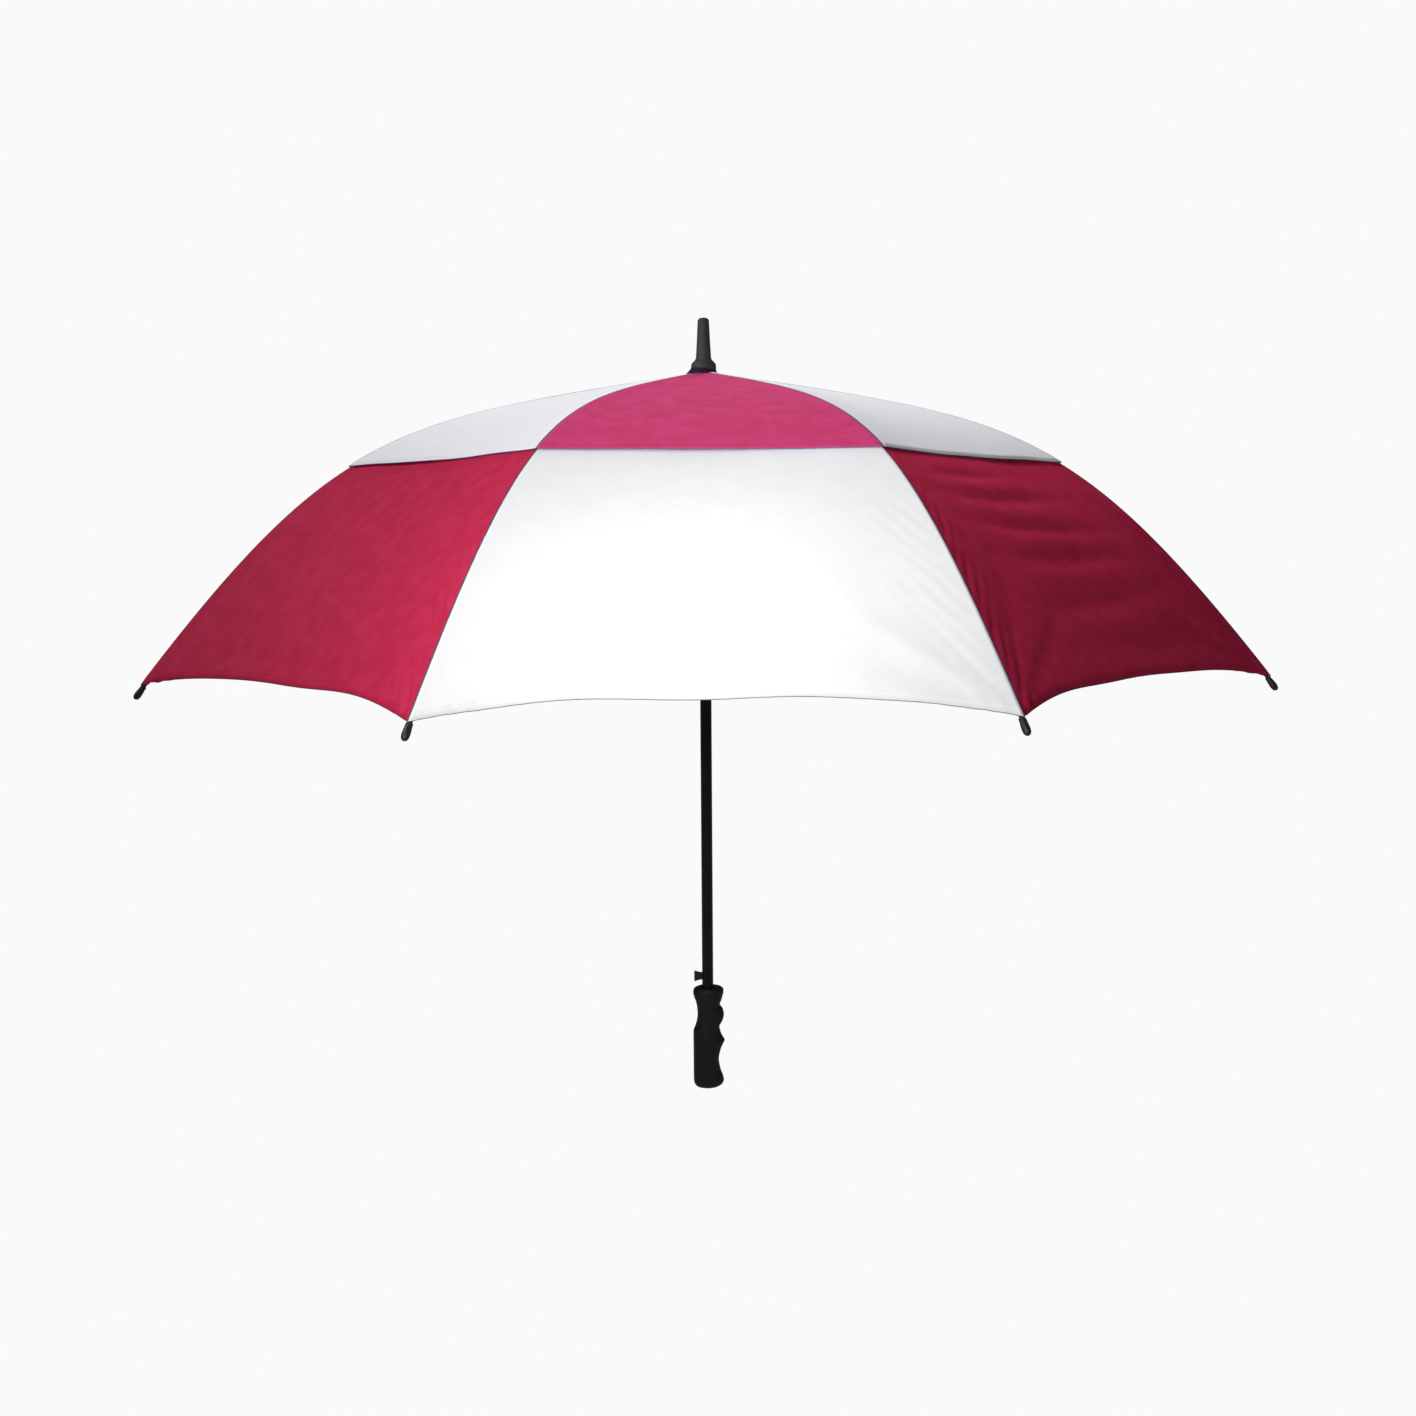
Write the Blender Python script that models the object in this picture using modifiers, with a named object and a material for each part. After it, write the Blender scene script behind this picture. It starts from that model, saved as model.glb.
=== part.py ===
"""Vented golf umbrella, standing open: a double canopy of eight gores, eight two-part ribs with
stretchers, a straight shaft with a sprung runner, and a pistol grip with a release button.

Metres, +Z up. The shaft runs along Z and the origin is at the middle of the grip's flat butt. The
front gore faces -Y, the button faces -X and the grip's finger grooves face +X.
"""

import math

import bmesh
import bpy
from mathutils import Matrix, Vector

# Canopy: the cloth's ridge line over a rib, which falls gently at the crown and steeply at the hem.
RIB_COUNT = 8
HALF_GORE = math.pi / RIB_COUNT
TIP_RADIUS = 0.644
HEM_HEIGHT = 0.540
CROWN_SLOPE = math.radians(10.5)
HEM_SLOPE = math.radians(54)
BEND_AT = 0.65
BEND_WIDTH = 0.11
UPPER_REACH = 0.655
LOWER_START = 0.56
CLOTH = 0.0008
LAYER_STEP = 0.0022
UPPER_HEM_RISE = 0.006
LOWER_HEM_RISE = 0.013
UPPER_SAG = 0.0045
LOWER_SAG = 0.010

# Ribs and stretchers
PIVOT_RADIUS = 0.013
RIB_DROP = 0.0040
ROD_RADIUS = 0.0022
OUTER_ROD_RADIUS = 0.00187
JOINT_RADIUS = 0.352
LUG_DROP = 0.0065
SPLIT_RADIUS = 0.362
EYE_THICKNESS = 0.0018
CHANNEL_WIDTH = 0.0048
CHANNEL_WALL = 0.0009
TIP_LENGTH = 0.0175
TIP_BORE = 0.008
CAP_RADIUS = 0.0036
CAP_MOUTH_RADIUS = 0.0031
CLEARANCE = 0.0003

# Shaft, runner and ferrule
SHAFT_RADIUS = 0.007
SHAFT_WALL = 0.0009
SHAFT_FOOT = 0.035
SHAFT_TOP = 0.935
WIRE_RADIUS = 0.0007
CROWN_RADIUS = 0.0165
SLOT_WIDTH = 0.0026
SPRING_COIL_RADIUS = 0.0088
SPRING_WIRE = 0.0007
SPRING_TURNS = 9
FERRULE_TOP = 0.954

# Grip and button
BUTTON_HEIGHT = 0.144
BUTTON_REACH = 0.017

TURN_STEPS = 24
QUARTER_TURN = [math.radians(angle) for angle in (0, 30, 60, 90)]
ROD_RESOLUTION = 2
PIN_SIDES = 8


def slope(radius):
    """The ridge line's downward angle at this radius."""
    share = radius / TIP_RADIUS
    return CROWN_SLOPE + (HEM_SLOPE - CROWN_SLOPE) / (1 + math.exp((BEND_AT - share) / BEND_WIDTH))


def ridge_height(radius, steps=40):
    """The height of the cloth's outer face over a rib, summed inwards from the hem."""
    step = (TIP_RADIUS - radius) / steps
    fall = sum(math.tan(slope(radius + (i + 0.5) * step)) * step for i in range(steps))
    return HEM_HEIGHT + fall


def under_ridge(radius, drop):
    """(radius, height) of the point that lies this far below the ridge line, square to it."""
    angle = slope(radius)
    return radius - drop * math.sin(angle), ridge_height(radius) - drop * math.cos(angle)


NOTCH_Z = under_ridge(PIVOT_RADIUS, RIB_DROP)[1]
JOINT = under_ridge(JOINT_RADIUS, RIB_DROP + LUG_DROP)
LINK = math.hypot(JOINT[0] - PIVOT_RADIUS, NOTCH_Z - JOINT[1])
LINK_SLOPE = math.atan2(NOTCH_Z - JOINT[1], JOINT[0] - PIVOT_RADIUS)
RUNNER_Z = 2 * JOINT[1] - NOTCH_Z
SPLIT = under_ridge(SPLIT_RADIUS, RIB_DROP - ROD_RADIUS)
RIB_END = under_ridge(TIP_RADIUS, RIB_DROP)


def clear_scene():
    for obj in list(bpy.data.objects):
        bpy.data.objects.remove(obj)
    for collection in list(bpy.data.collections):
        bpy.data.collections.remove(collection)


def new_collection(name):
    collection = bpy.data.collections.new(name)
    bpy.context.scene.collection.children.link(collection)
    return collection


def finish_material(name, colour, roughness, metallic=0.0):
    material = bpy.data.materials.new(name)
    material.use_nodes = True
    shader = material.node_tree.nodes["Principled BSDF"]
    shader.inputs["Base Color"].default_value = (*colour, 1)
    shader.inputs["Roughness"].default_value = roughness
    shader.inputs["Metallic"].default_value = metallic
    return material


def add_piece(name, mesh, material=None, place=None):
    """Links an object for this mesh. The first material given to a shared mesh stays on it."""
    piece = bpy.data.objects.new(name, mesh)
    PARTS.objects.link(piece)
    if material and not mesh.materials:
        mesh.materials.append(material)
    if place:
        piece.matrix_world = place
    return piece


def block(size, centre):
    """A box mesh of this size about this centre."""
    mesh = bpy.data.meshes.new("block")
    shape = bmesh.new()
    bmesh.ops.create_cube(shape, size=1, matrix=Matrix.Translation(centre) @ Matrix.Diagonal((*size, 1)))
    shape.to_mesh(mesh)
    shape.free()
    return mesh


def rod(start, end, radius, sides=PIN_SIDES):
    """A straight round bar mesh between two points."""
    start, end = Vector(start), Vector(end)
    turn = (end - start).to_track_quat("Z", "Y").to_matrix().to_4x4()
    place = Matrix.Translation((start + end) / 2) @ turn
    mesh = bpy.data.meshes.new("rod")
    shape = bmesh.new()
    bmesh.ops.create_cone(
        shape,
        cap_ends=True,
        segments=sides,
        radius1=radius,
        radius2=radius,
        depth=(end - start).length,
        matrix=place,
    )
    shape.to_mesh(mesh)
    shape.free()
    return mesh


def evaluated(piece):
    """The piece's mesh with its modifiers or curve turned into faces. The piece is removed."""
    bpy.context.view_layer.update()
    graph = bpy.context.evaluated_depsgraph_get()
    mesh = bpy.data.meshes.new_from_object(piece.evaluated_get(graph))
    mesh.transform(piece.matrix_world)
    bpy.data.objects.remove(piece)
    return mesh


def wire(points, radius, closed=False, resolution=ROD_RESOLUTION):
    """A round wire mesh along these points, with its caps welded on."""
    curve = bpy.data.curves.new("wire", "CURVE")
    curve.dimensions = "3D"
    curve.bevel_depth = radius
    curve.bevel_resolution = resolution
    curve.use_fill_caps = not closed
    spline = curve.splines.new("POLY")
    spline.points.add(len(points) - 1)
    spline.use_cyclic_u = closed
    for point, place in zip(spline.points, points):
        point.co = (*place, 1)
    mesh = evaluated(add_piece("wire", curve))
    shape = bmesh.new()
    shape.from_mesh(mesh)
    bmesh.ops.remove_doubles(shape, verts=shape.verts, dist=0.00001)
    shape.to_mesh(mesh)
    shape.free()
    return mesh


def combine(mesh, others, operation):
    """The mesh with each of the others joined to it or cut from it."""
    piece = add_piece("combined", mesh)
    for other in others:
        tool = bpy.data.objects.new("tool", other)
        CUTTERS.objects.link(tool)
        tool.display_type = "WIRE"
        tool.hide_render = True
        boolean = piece.modifiers.new(operation, "BOOLEAN")
        boolean.operation = operation
        boolean.object = tool
    mesh = evaluated(piece)
    for tool in list(CUTTERS.objects):
        bpy.data.objects.remove(tool)
    return mesh


def turned(outline, closed=False, steps=TURN_STEPS):
    """A mesh turned about Z from (radius, height) points that run down the outer side."""
    mesh = bpy.data.meshes.new("outline")
    edges = [(i, i + 1) for i in range(len(outline) - 1)]
    if closed:
        edges.append((len(outline) - 1, 0))
    mesh.from_pydata([(radius, 0, height) for radius, height in outline], edges, [])
    piece = add_piece("turned", mesh)
    screw = piece.modifiers.new("turn", "SCREW")
    screw.steps = steps
    screw.render_steps = steps
    screw.use_merge_vertices = True
    screw.merge_threshold = 0.00002
    return evaluated(piece)


def loft(sections):
    """A mesh through rings of equally many points, closed with a face at each end."""
    mesh = bpy.data.meshes.new("loft")
    shape = bmesh.new()
    rings = [[shape.verts.new(point) for point in section] for section in sections]
    for lower, upper in zip(rings, rings[1:]):
        for i in range(len(lower)):
            following = (i + 1) % len(lower)
            shape.faces.new((lower[i], lower[following], upper[following], upper[i]))
    shape.faces.new(rings[0][::-1])
    shape.faces.new(rings[-1])
    bmesh.ops.recalc_face_normals(shape, faces=shape.faces)
    shape.to_mesh(mesh)
    shape.free()
    return mesh


def smooth(mesh):
    mesh.shade_smooth()
    mesh.set_sharp_from_angle(angle=math.radians(35))
    return mesh


def radial_place(azimuth, radius, height, pitch=0.0):
    """The frame whose X points outwards at this azimuth from -Y, and whose Y is the closing axis."""
    turn = Matrix.Rotation(azimuth - math.pi / 2, 4, "Z")
    return turn @ Matrix.Translation((radius, 0, height)) @ Matrix.Rotation(pitch, 4, "Y")


def rib_azimuth(index):
    return (2 * index + 1) * HALF_GORE


def gore_azimuth(index):
    return 2 * index * HALF_GORE


def rib_points(start, end, count, origin):
    """Points along a rib's centreline between two radii, from this (radius, height)."""
    points = []
    for i in range(count):
        radius, height = under_ridge(start + (end - start) * i / (count - 1), RIB_DROP)
        points.append((radius - origin[0], 0, height - origin[1]))
    return points


def make_rib_inner():
    """Rod from the notch to past the stretcher joint, with a flat eye and a lug under the joint."""
    origin = (PIVOT_RADIUS, NOTCH_Z)
    body = wire(rib_points(0.024, SPLIT_RADIUS - CLEARANCE, 7, origin), ROD_RADIUS)
    eye_end = 0.016
    eye = rod((0, -EYE_THICKNESS / 2, 0), (0, EYE_THICKNESS / 2, 0), 0.0026)
    shank_slope = -eye_end * math.tan(CROWN_SLOPE)
    shank = block((eye_end, EYE_THICKNESS, 0.0034), (eye_end / 2, 0, shank_slope / 2))
    joint = Vector((JOINT[0] - PIVOT_RADIUS, 0, JOINT[1] - NOTCH_Z))
    lug_top = joint + Vector((0, 0, LUG_DROP))
    lug = block((0.0064, 0.0020, LUG_DROP), (joint + lug_top) / 2)
    lug_end = rod(joint + Vector((0, -0.0010, 0)), joint + Vector((0, 0.0010, 0)), 0.0032)
    body = combine(body, [eye, shank, lug, lug_end], "UNION")
    wire_hole = rod((0, -0.004, 0), (0, 0.004, 0), WIRE_RADIUS + 0.0004)
    pin_hole = rod(joint - Vector((0, 0.004, 0)), joint + Vector((0, 0.004, 0)), 0.0014)
    return smooth(combine(body, [wire_hole, pin_hole], "DIFFERENCE"))


def make_rib_outer():
    """Rod from the split to inside the tip's bore, its hinge at the rod's upper side."""
    points = rib_points(SPLIT_RADIUS, TIP_RADIUS, 10, SPLIT)
    direction = Vector((math.cos(HEM_SLOPE), 0, -math.sin(HEM_SLOPE)))
    points.append(tuple(Vector(points[-1]) + direction * (TIP_BORE - CLEARANCE)))
    return smooth(wire(points, OUTER_ROD_RADIUS))


def make_rib_tip():
    """Rounded cap along +Z whose bore takes the rod's end. Its origin is at the bore's mouth."""
    bore = OUTER_ROD_RADIUS + CLEARANCE
    bore_end = TIP_BORE + CLEARANCE
    dome_centre = TIP_LENGTH - CAP_RADIUS
    dome = [(CAP_RADIUS * math.sin(a), dome_centre + CAP_RADIUS * math.cos(a)) for a in QUARTER_TURN]
    mouth = [(CAP_RADIUS, TIP_LENGTH / 2), (CAP_MOUTH_RADIUS, 0), (bore, 0)]
    return smooth(turned(dome + mouth + [(bore, bore_end), (0, bore_end)], steps=10))


def make_stretcher():
    """Channel along -X from the rib joint, with a fork and rivet there and an eye at the runner."""
    height = 0.0046
    body = block((LINK - 0.006, CHANNEL_WIDTH, height), ((-LINK - 0.006) / 2 + 0.009, 0, 0))
    eye = rod((-LINK, -EYE_THICKNESS / 2, 0), (-LINK, EYE_THICKNESS / 2, 0), 0.0026)
    tang = block((0.016, EYE_THICKNESS, 0.0040), (-LINK + 0.008, 0, 0))
    inner_width = CHANNEL_WIDTH - 2 * CHANNEL_WALL
    hollow_start = -LINK + 0.020
    hollow = block(
        (0.010 - hollow_start, inner_width, height),
        ((0.010 + hollow_start) / 2, 0, CHANNEL_WALL),
    )
    fork = block((0.020, inner_width, 0.02), (0.004, 0, 0))
    body = combine(body, [hollow, fork], "DIFFERENCE")
    rivet = rod((0, -CHANNEL_WIDTH / 2 - 0.0005, 0), (0, CHANNEL_WIDTH / 2 + 0.0005, 0), 0.0010)
    body = combine(body, [eye, tang, rivet], "UNION")
    wire_hole = rod((-LINK, -0.004, 0), (-LINK, 0.004, 0), WIRE_RADIUS + 0.0004)
    return smooth(combine(body, [wire_hole], "DIFFERENCE"))


def place_on_gore(across, radius, lift, sag):
    """A point on a gore that faces +X: across runs from -1 to 1 between its two ribs, and between
    them the cloth dips, by up to sag at the hem."""
    angle = slope(radius)
    inset = lift - sag * radius / TIP_RADIUS * (1 - across * across)
    depth = radius * math.cos(HALF_GORE)
    inner_depth = depth + (lift - CLOTH) * math.sin(angle)
    half_width = inner_depth * math.tan(HALF_GORE) - CLEARANCE
    height = ridge_height(radius) + inset * math.cos(angle)
    return Vector((depth + inset * math.sin(angle), across * half_width, height))


def make_gore(start, end, lift, sag, hem_rise, columns, rows):
    """A closed sheet of cloth between two ribs, its hem drawn up between the corners."""
    mesh = bpy.data.meshes.new("gore")
    shape = bmesh.new()
    bmesh.ops.create_grid(shape, x_segments=columns, y_segments=rows, size=1)
    for vertex in shape.verts:
        across, along = vertex.co.x, (vertex.co.y + 1) / 2
        hem = end - hem_rise * (1 - abs(across) ** 3)
        vertex.co = place_on_gore(across, start + (hem - start) * along, lift, sag)
    bmesh.ops.recalc_face_normals(shape, faces=shape.faces)
    if sum(face.normal.z for face in shape.faces) < 0:
        bmesh.ops.reverse_faces(shape, faces=shape.faces)
    shape.to_mesh(mesh)
    shape.free()
    piece = add_piece("sheet", mesh)
    solidify = piece.modifiers.new("thickness", "SOLIDIFY")
    solidify.thickness = CLOTH
    solidify.offset = -1
    return smooth(evaluated(piece))


def slotted(mesh, height, low, high, inner):
    """Cuts a radial slot for each rib through a crown, between two heights."""
    cutters = []
    for index in range(RIB_COUNT):
        cutter = block((0.03, SLOT_WIDTH, high - low), (inner + 0.015, 0, (low + high) / 2 - height))
        cutter.transform(radial_place(rib_azimuth(index), 0, height))
        cutters.append(cutter)
    return combine(mesh, cutters, "DIFFERENCE")


def ring_groove(height, inner, mouth_low, mouth_high):
    """The channel that a ring of wire lies in, open to the outside between two heights."""
    outline = [(0.03, mouth_high), (0.03, mouth_low), (inner, mouth_low), (inner, mouth_high)]
    return turned([(radius, z + height) for radius, z in outline], closed=True)


def make_top_notch():
    """Crown fixed to the shaft: eight slots open downwards and a groove for the wire."""
    bore = SHAFT_RADIUS + CLEARANCE
    low, high = NOTCH_Z - 0.018, NOTCH_Z + 0.0026
    outline = [
        (CROWN_RADIUS - 0.001, high),
        (CROWN_RADIUS, high - 0.001),
        (CROWN_RADIUS, NOTCH_Z - 0.0042),
        (0.0118, NOTCH_Z - 0.0070),
        (0.0100, low),
        (bore, low),
        (bore, high),
    ]
    crown = turned(outline, closed=True)
    crown = slotted(crown, NOTCH_Z, NOTCH_Z - 0.02, NOTCH_Z + 0.01, PIVOT_RADIUS - 0.0031)
    groove = ring_groove(NOTCH_Z, PIVOT_RADIUS - WIRE_RADIUS - 0.0003, -0.0010, 0.0010)
    return smooth(combine(crown, [groove], "DIFFERENCE"))


def make_runner():
    """Collar that slides on the shaft: a slotted crown over a long sleeve with a rim."""
    bore = SHAFT_RADIUS + CLEARANCE
    low, high = RUNNER_Z - 0.036, RUNNER_Z + 0.0038
    outline = [
        (CROWN_RADIUS - 0.001, high),
        (CROWN_RADIUS, high - 0.001),
        (CROWN_RADIUS, RUNNER_Z - 0.0046),
        (0.0112, RUNNER_Z - 0.0090),
        (0.0098, RUNNER_Z - 0.0120),
        (0.0098, low + 0.0050),
        (0.0118, low + 0.0036),
        (0.0118, low),
        (bore, low),
        (bore, high),
    ]
    crown = turned(outline, closed=True)
    crown = slotted(crown, RUNNER_Z, RUNNER_Z - 0.0033, RUNNER_Z + 0.01, PIVOT_RADIUS - 0.0031)
    groove = ring_groove(RUNNER_Z, PIVOT_RADIUS - WIRE_RADIUS - 0.0003, -0.0010, 0.0010)
    return smooth(combine(crown, [groove], "DIFFERENCE"))


def make_ring_wire(height):
    count = 24
    points = []
    for i in range(count):
        angle = math.tau * (i + 0.5) / count
        points.append((PIVOT_RADIUS * math.cos(angle), PIVOT_RADIUS * math.sin(angle), height))
    return smooth(wire(points, WIRE_RADIUS, closed=True, resolution=0))


def make_main_spring(low, high):
    """Opening spring: a helix with a closed turn at each end."""
    turn_points = 10
    count = SPRING_TURNS * turn_points
    points = []
    for i in range(count + 1):
        angle = math.tau * i / turn_points
        share = min(max((i - turn_points) / (count - 2 * turn_points), 0), 1)
        rise = min(i, turn_points) + min(max(i - count + turn_points, 0), turn_points)
        height = low + rise / turn_points * SPRING_WIRE * 2.4 + share * (high - low - SPRING_WIRE * 4.8)
        x, y = SPRING_COIL_RADIUS * math.cos(angle), SPRING_COIL_RADIUS * math.sin(angle)
        points.append((x, y, height))
    return smooth(wire(points, SPRING_WIRE, resolution=1))


def make_spring_cap(low):
    outline = [(0.0100, 0.010), (0.0112, 0.008), (0.0112, 0), (SHAFT_RADIUS + CLEARANCE, 0)]
    outline.append((SHAFT_RADIUS + CLEARANCE, 0.010))
    return smooth(turned([(radius, low + z) for radius, z in outline], closed=True))


def make_shaft():
    """Tube with a window for the button in its -X side."""
    inner = SHAFT_RADIUS - SHAFT_WALL
    outline = [(SHAFT_RADIUS, SHAFT_TOP), (SHAFT_RADIUS, SHAFT_FOOT), (inner, SHAFT_FOOT), (inner, SHAFT_TOP)]
    tube = turned(outline, closed=True)
    window = block((0.006, 0.0046, 0.0112), (-SHAFT_RADIUS, 0, BUTTON_HEIGHT))
    return smooth(combine(tube, [window], "DIFFERENCE"))


def make_ferrule():
    """Spike with a rounded nose and a flared collar, dished underneath and bored for the shaft's end."""
    bore = SHAFT_RADIUS + CLEARANCE
    crown = ridge_height(0) + LAYER_STEP
    nose, nose_centre = 0.0038, FERRULE_TOP - 0.0038
    outline = [(0, FERRULE_TOP)]
    outline += [(0.0030 + nose * math.sin(a), nose_centre + nose * math.cos(a)) for a in QUARTER_TURN]
    outline += [(0.0078, 0.930), (0.0092, 0.9065), (0.0102, 0.9040), (0.0146, 0.8998), (0.0150, 0.8980)]
    outline += [(0.0152, crown - 0.0002), (bore, crown + 0.0010)]
    outline += [(bore, SHAFT_TOP + 0.0005), (0, SHAFT_TOP + 0.0005)]
    return smooth(turned(outline))


def make_canopy_washer():
    """Thin disc that clamps the cloth under the ferrule, dished to the crown's slope."""
    outline = []
    for radius, above in ((0.0260, 0.0014), (0.0266, 0.0006), (0.0080, 0.0006), (0.0080, 0.0018)):
        outline.append((radius, ridge_height(radius) + LAYER_STEP + above))
    return smooth(turned(outline, closed=True))


GRIP_STATIONS = (
    # height, reach behind the shaft's axis, reach in front of it, half thickness
    (0.0000, 0.0120, 0.0096, 0.0090),
    (0.0025, 0.0163, 0.0160, 0.0119),
    (0.0075, 0.0182, 0.0198, 0.0135),
    (0.0130, 0.0184, 0.0190, 0.0139),
    (0.0220, 0.0184, 0.0158, 0.0140),
    (0.0355, 0.0184, 0.0135, 0.0140),
    (0.0470, 0.0184, 0.0156, 0.0140),
    (0.0605, 0.0184, 0.0211, 0.0138),
    (0.0700, 0.0184, 0.0163, 0.0136),
    (0.0803, 0.0158, 0.0148, 0.0132),
    (0.0870, 0.0139, 0.0188, 0.0130),
    (0.0945, 0.0130, 0.0202, 0.0130),
    (0.1010, 0.0133, 0.0188, 0.0131),
    (0.1068, 0.0141, 0.0152, 0.0133),
    (0.1170, 0.0172, 0.0184, 0.0138),
    (0.1235, 0.0184, 0.0198, 0.0138),
    (0.1280, 0.0166, 0.0188, 0.0124),
    (0.1298, 0.0132, 0.0160, 0.0106),
)


def make_grip():
    """Pistol grip lofted through oval sections, with finger grooves in front and a bore on top."""
    sides = 20
    sections = []
    for height, behind, ahead, half_depth in GRIP_STATIONS:
        middle, half_width = (ahead - behind) / 2, (ahead + behind) / 2
        ring = []
        for i in range(sides):
            angle = math.tau * i / sides
            ring.append((middle + half_width * math.cos(angle), half_depth * math.sin(angle), height))
        sections.append(ring)
    bore = rod((0, 0, SHAFT_FOOT - 0.0005), (0, 0, 0.15), SHAFT_RADIUS + CLEARANCE, TURN_STEPS)
    return smooth(combine(loft(sections), [bore], "DIFFERENCE"))


def make_release_button():
    """Push button: a neck through the shaft's window that flares to a domed thumb face."""
    stations = (
        # distance from the axis, half width, half height
        (0.0030, 0.0019, 0.0050),
        (0.0118, 0.0019, 0.0050),
        (0.0150, 0.0026, 0.0064),
        (0.0164, 0.0026, 0.0068),
        (BUTTON_REACH, 0.0018, 0.0056),
    )
    corners = ((-1, -0.8), (-0.6, -1), (0.6, -1), (1, -0.8), (1, 0.8), (0.6, 1), (-0.6, 1), (-1, 0.8))
    sections = []
    for reach, half_width, half_height in stations:
        ring = []
        for side, up in corners:
            ring.append((-reach, side * half_width, BUTTON_HEIGHT + up * half_height))
        sections.append(ring)
    return smooth(loft(sections))


def make_button_spring():
    """Bent wire that leans on the shaft's far wall and pushes the button out."""
    wall = SHAFT_RADIUS - SHAFT_WALL - 0.0005 - CLEARANCE
    points = [(wall, 0, 0.118), (wall, 0, 0.124), (0.002, 0, 0.136), (-0.0022, 0, 0.142)]
    points += [(-0.0022, 0, 0.146), (0.001, 0, 0.151)]
    return smooth(wire(points, 0.0005, resolution=1))


def add_ribs(materials):
    """The eight ribs with their tips and stretchers, each on its own hinge."""
    inner, outer, tip, stretcher = make_rib_inner(), make_rib_outer(), make_rib_tip(), make_stretcher()
    end_pitch = math.pi / 2 + HEM_SLOPE
    for index in range(RIB_COUNT):
        azimuth, number = rib_azimuth(index), index + 1
        place = radial_place(azimuth, PIVOT_RADIUS, NOTCH_Z)
        add_piece(f"rib_inner_{number}", inner, materials["rod"], place)
        add_piece(f"rib_outer_{number}", outer, materials["rod"], radial_place(azimuth, *SPLIT))
        place = radial_place(azimuth, *RIB_END, end_pitch)
        add_piece(f"rib_tip_{number}", tip, materials["plastic"], place)
        place = radial_place(azimuth, *JOINT, -LINK_SLOPE)
        add_piece(f"stretcher_{number}", stretcher, materials["steel"], place)


def add_canopy(materials):
    """The gores, whose colours alternate round the canopy and between its two layers."""
    upper_end = UPPER_REACH * TIP_RADIUS
    lower_start = LOWER_START * TIP_RADIUS
    upper_hinge = place_on_gore(0, PIVOT_RADIUS, 0, 0)
    lower_hinge = place_on_gore(0, upper_end - UPPER_HEM_RISE, 0, 0)
    upper = make_gore(0.0095, upper_end, LAYER_STEP, UPPER_SAG, UPPER_HEM_RISE, 6, 10)
    lower = make_gore(lower_start, TIP_RADIUS - 0.001, 0, LOWER_SAG, LOWER_HEM_RISE, 6, 9)
    upper.transform(Matrix.Translation(-upper_hinge))
    lower.transform(Matrix.Translation(-lower_hinge))
    for index in range(RIB_COUNT):
        azimuth, number = gore_azimuth(index), index + 1
        upper_cloth, lower_cloth = ("red", "white") if index % 2 == 0 else ("white", "red")
        place = radial_place(azimuth, upper_hinge.x, upper_hinge.z)
        add_piece(f"upper_gore_{number}", upper.copy(), materials[upper_cloth], place)
        place = radial_place(azimuth, lower_hinge.x, lower_hinge.z)
        add_piece(f"lower_gore_{number}", lower.copy(), materials[lower_cloth], place)


def add_shaft(materials):
    """The shaft with its fixed fittings, the sliding runner and the spring above it."""
    add_piece("shaft_tube", make_shaft(), materials["paint"])
    add_piece("top_notch", make_top_notch(), materials["plastic"])
    add_piece("notch_wire", make_ring_wire(NOTCH_Z), materials["steel"])
    add_piece("canopy_washer", make_canopy_washer(), materials["plastic"])
    add_piece("ferrule", make_ferrule(), materials["ferrule"])
    add_piece("runner", make_runner(), materials["plastic"])
    add_piece("runner_wire", make_ring_wire(RUNNER_Z), materials["steel"])
    spring_low = RUNNER_Z + 0.0038 + SPRING_WIRE + CLEARANCE
    spring_high = spring_low + 0.085
    add_piece("main_spring", make_main_spring(spring_low, spring_high), materials["steel"])
    cap_low = spring_high + SPRING_WIRE + CLEARANCE
    add_piece("spring_cap", make_spring_cap(cap_low), materials["plastic"])


def add_grip(materials):
    """The grip, the release button and its spring."""
    add_piece("grip", make_grip(), materials["grip"])
    add_piece("release_button", make_release_button(), materials["plastic"])
    add_piece("button_spring", make_button_spring(), materials["steel"])


clear_scene()
PARTS = new_collection("golf_umbrella")
CUTTERS = new_collection("golf_umbrella_cutters")
FINISHES = {
    "red": finish_material("canopy_red", (0.42, 0.02, 0.07), 0.7),
    "white": finish_material("canopy_white", (0.80, 0.80, 0.84), 0.7),
    "rod": finish_material("rib_fibreglass", (0.03, 0.03, 0.035), 0.4),
    "steel": finish_material("frame_steel", (0.35, 0.35, 0.37), 0.35, 1.0),
    "plastic": finish_material("black_plastic", (0.02, 0.02, 0.022), 0.45),
    "paint": finish_material("shaft_paint", (0.015, 0.013, 0.015), 0.3),
    "ferrule": finish_material("ferrule_plastic", (0.04, 0.037, 0.034), 0.5),
    "grip": finish_material("grip_plastic", (0.012, 0.01, 0.012), 0.5),
}
add_ribs(FINISHES)
add_canopy(FINISHES)
add_shaft(FINISHES)
add_grip(FINISHES)
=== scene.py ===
"""Looks of the vented golf umbrella: cloth gores with hems and stitches, smooth ribs and
stretchers, fine hardware, materials, studio light, floor and camera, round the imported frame.

Metres, +Z up. A gore is first made facing +X and then turned to its azimuth, counted from -Y
towards +X, so gore 1 faces the camera and rib 1 is on its right.
"""

import math

import bmesh
import bpy
import numpy as np
from mathutils import Matrix, Vector, noise


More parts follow.
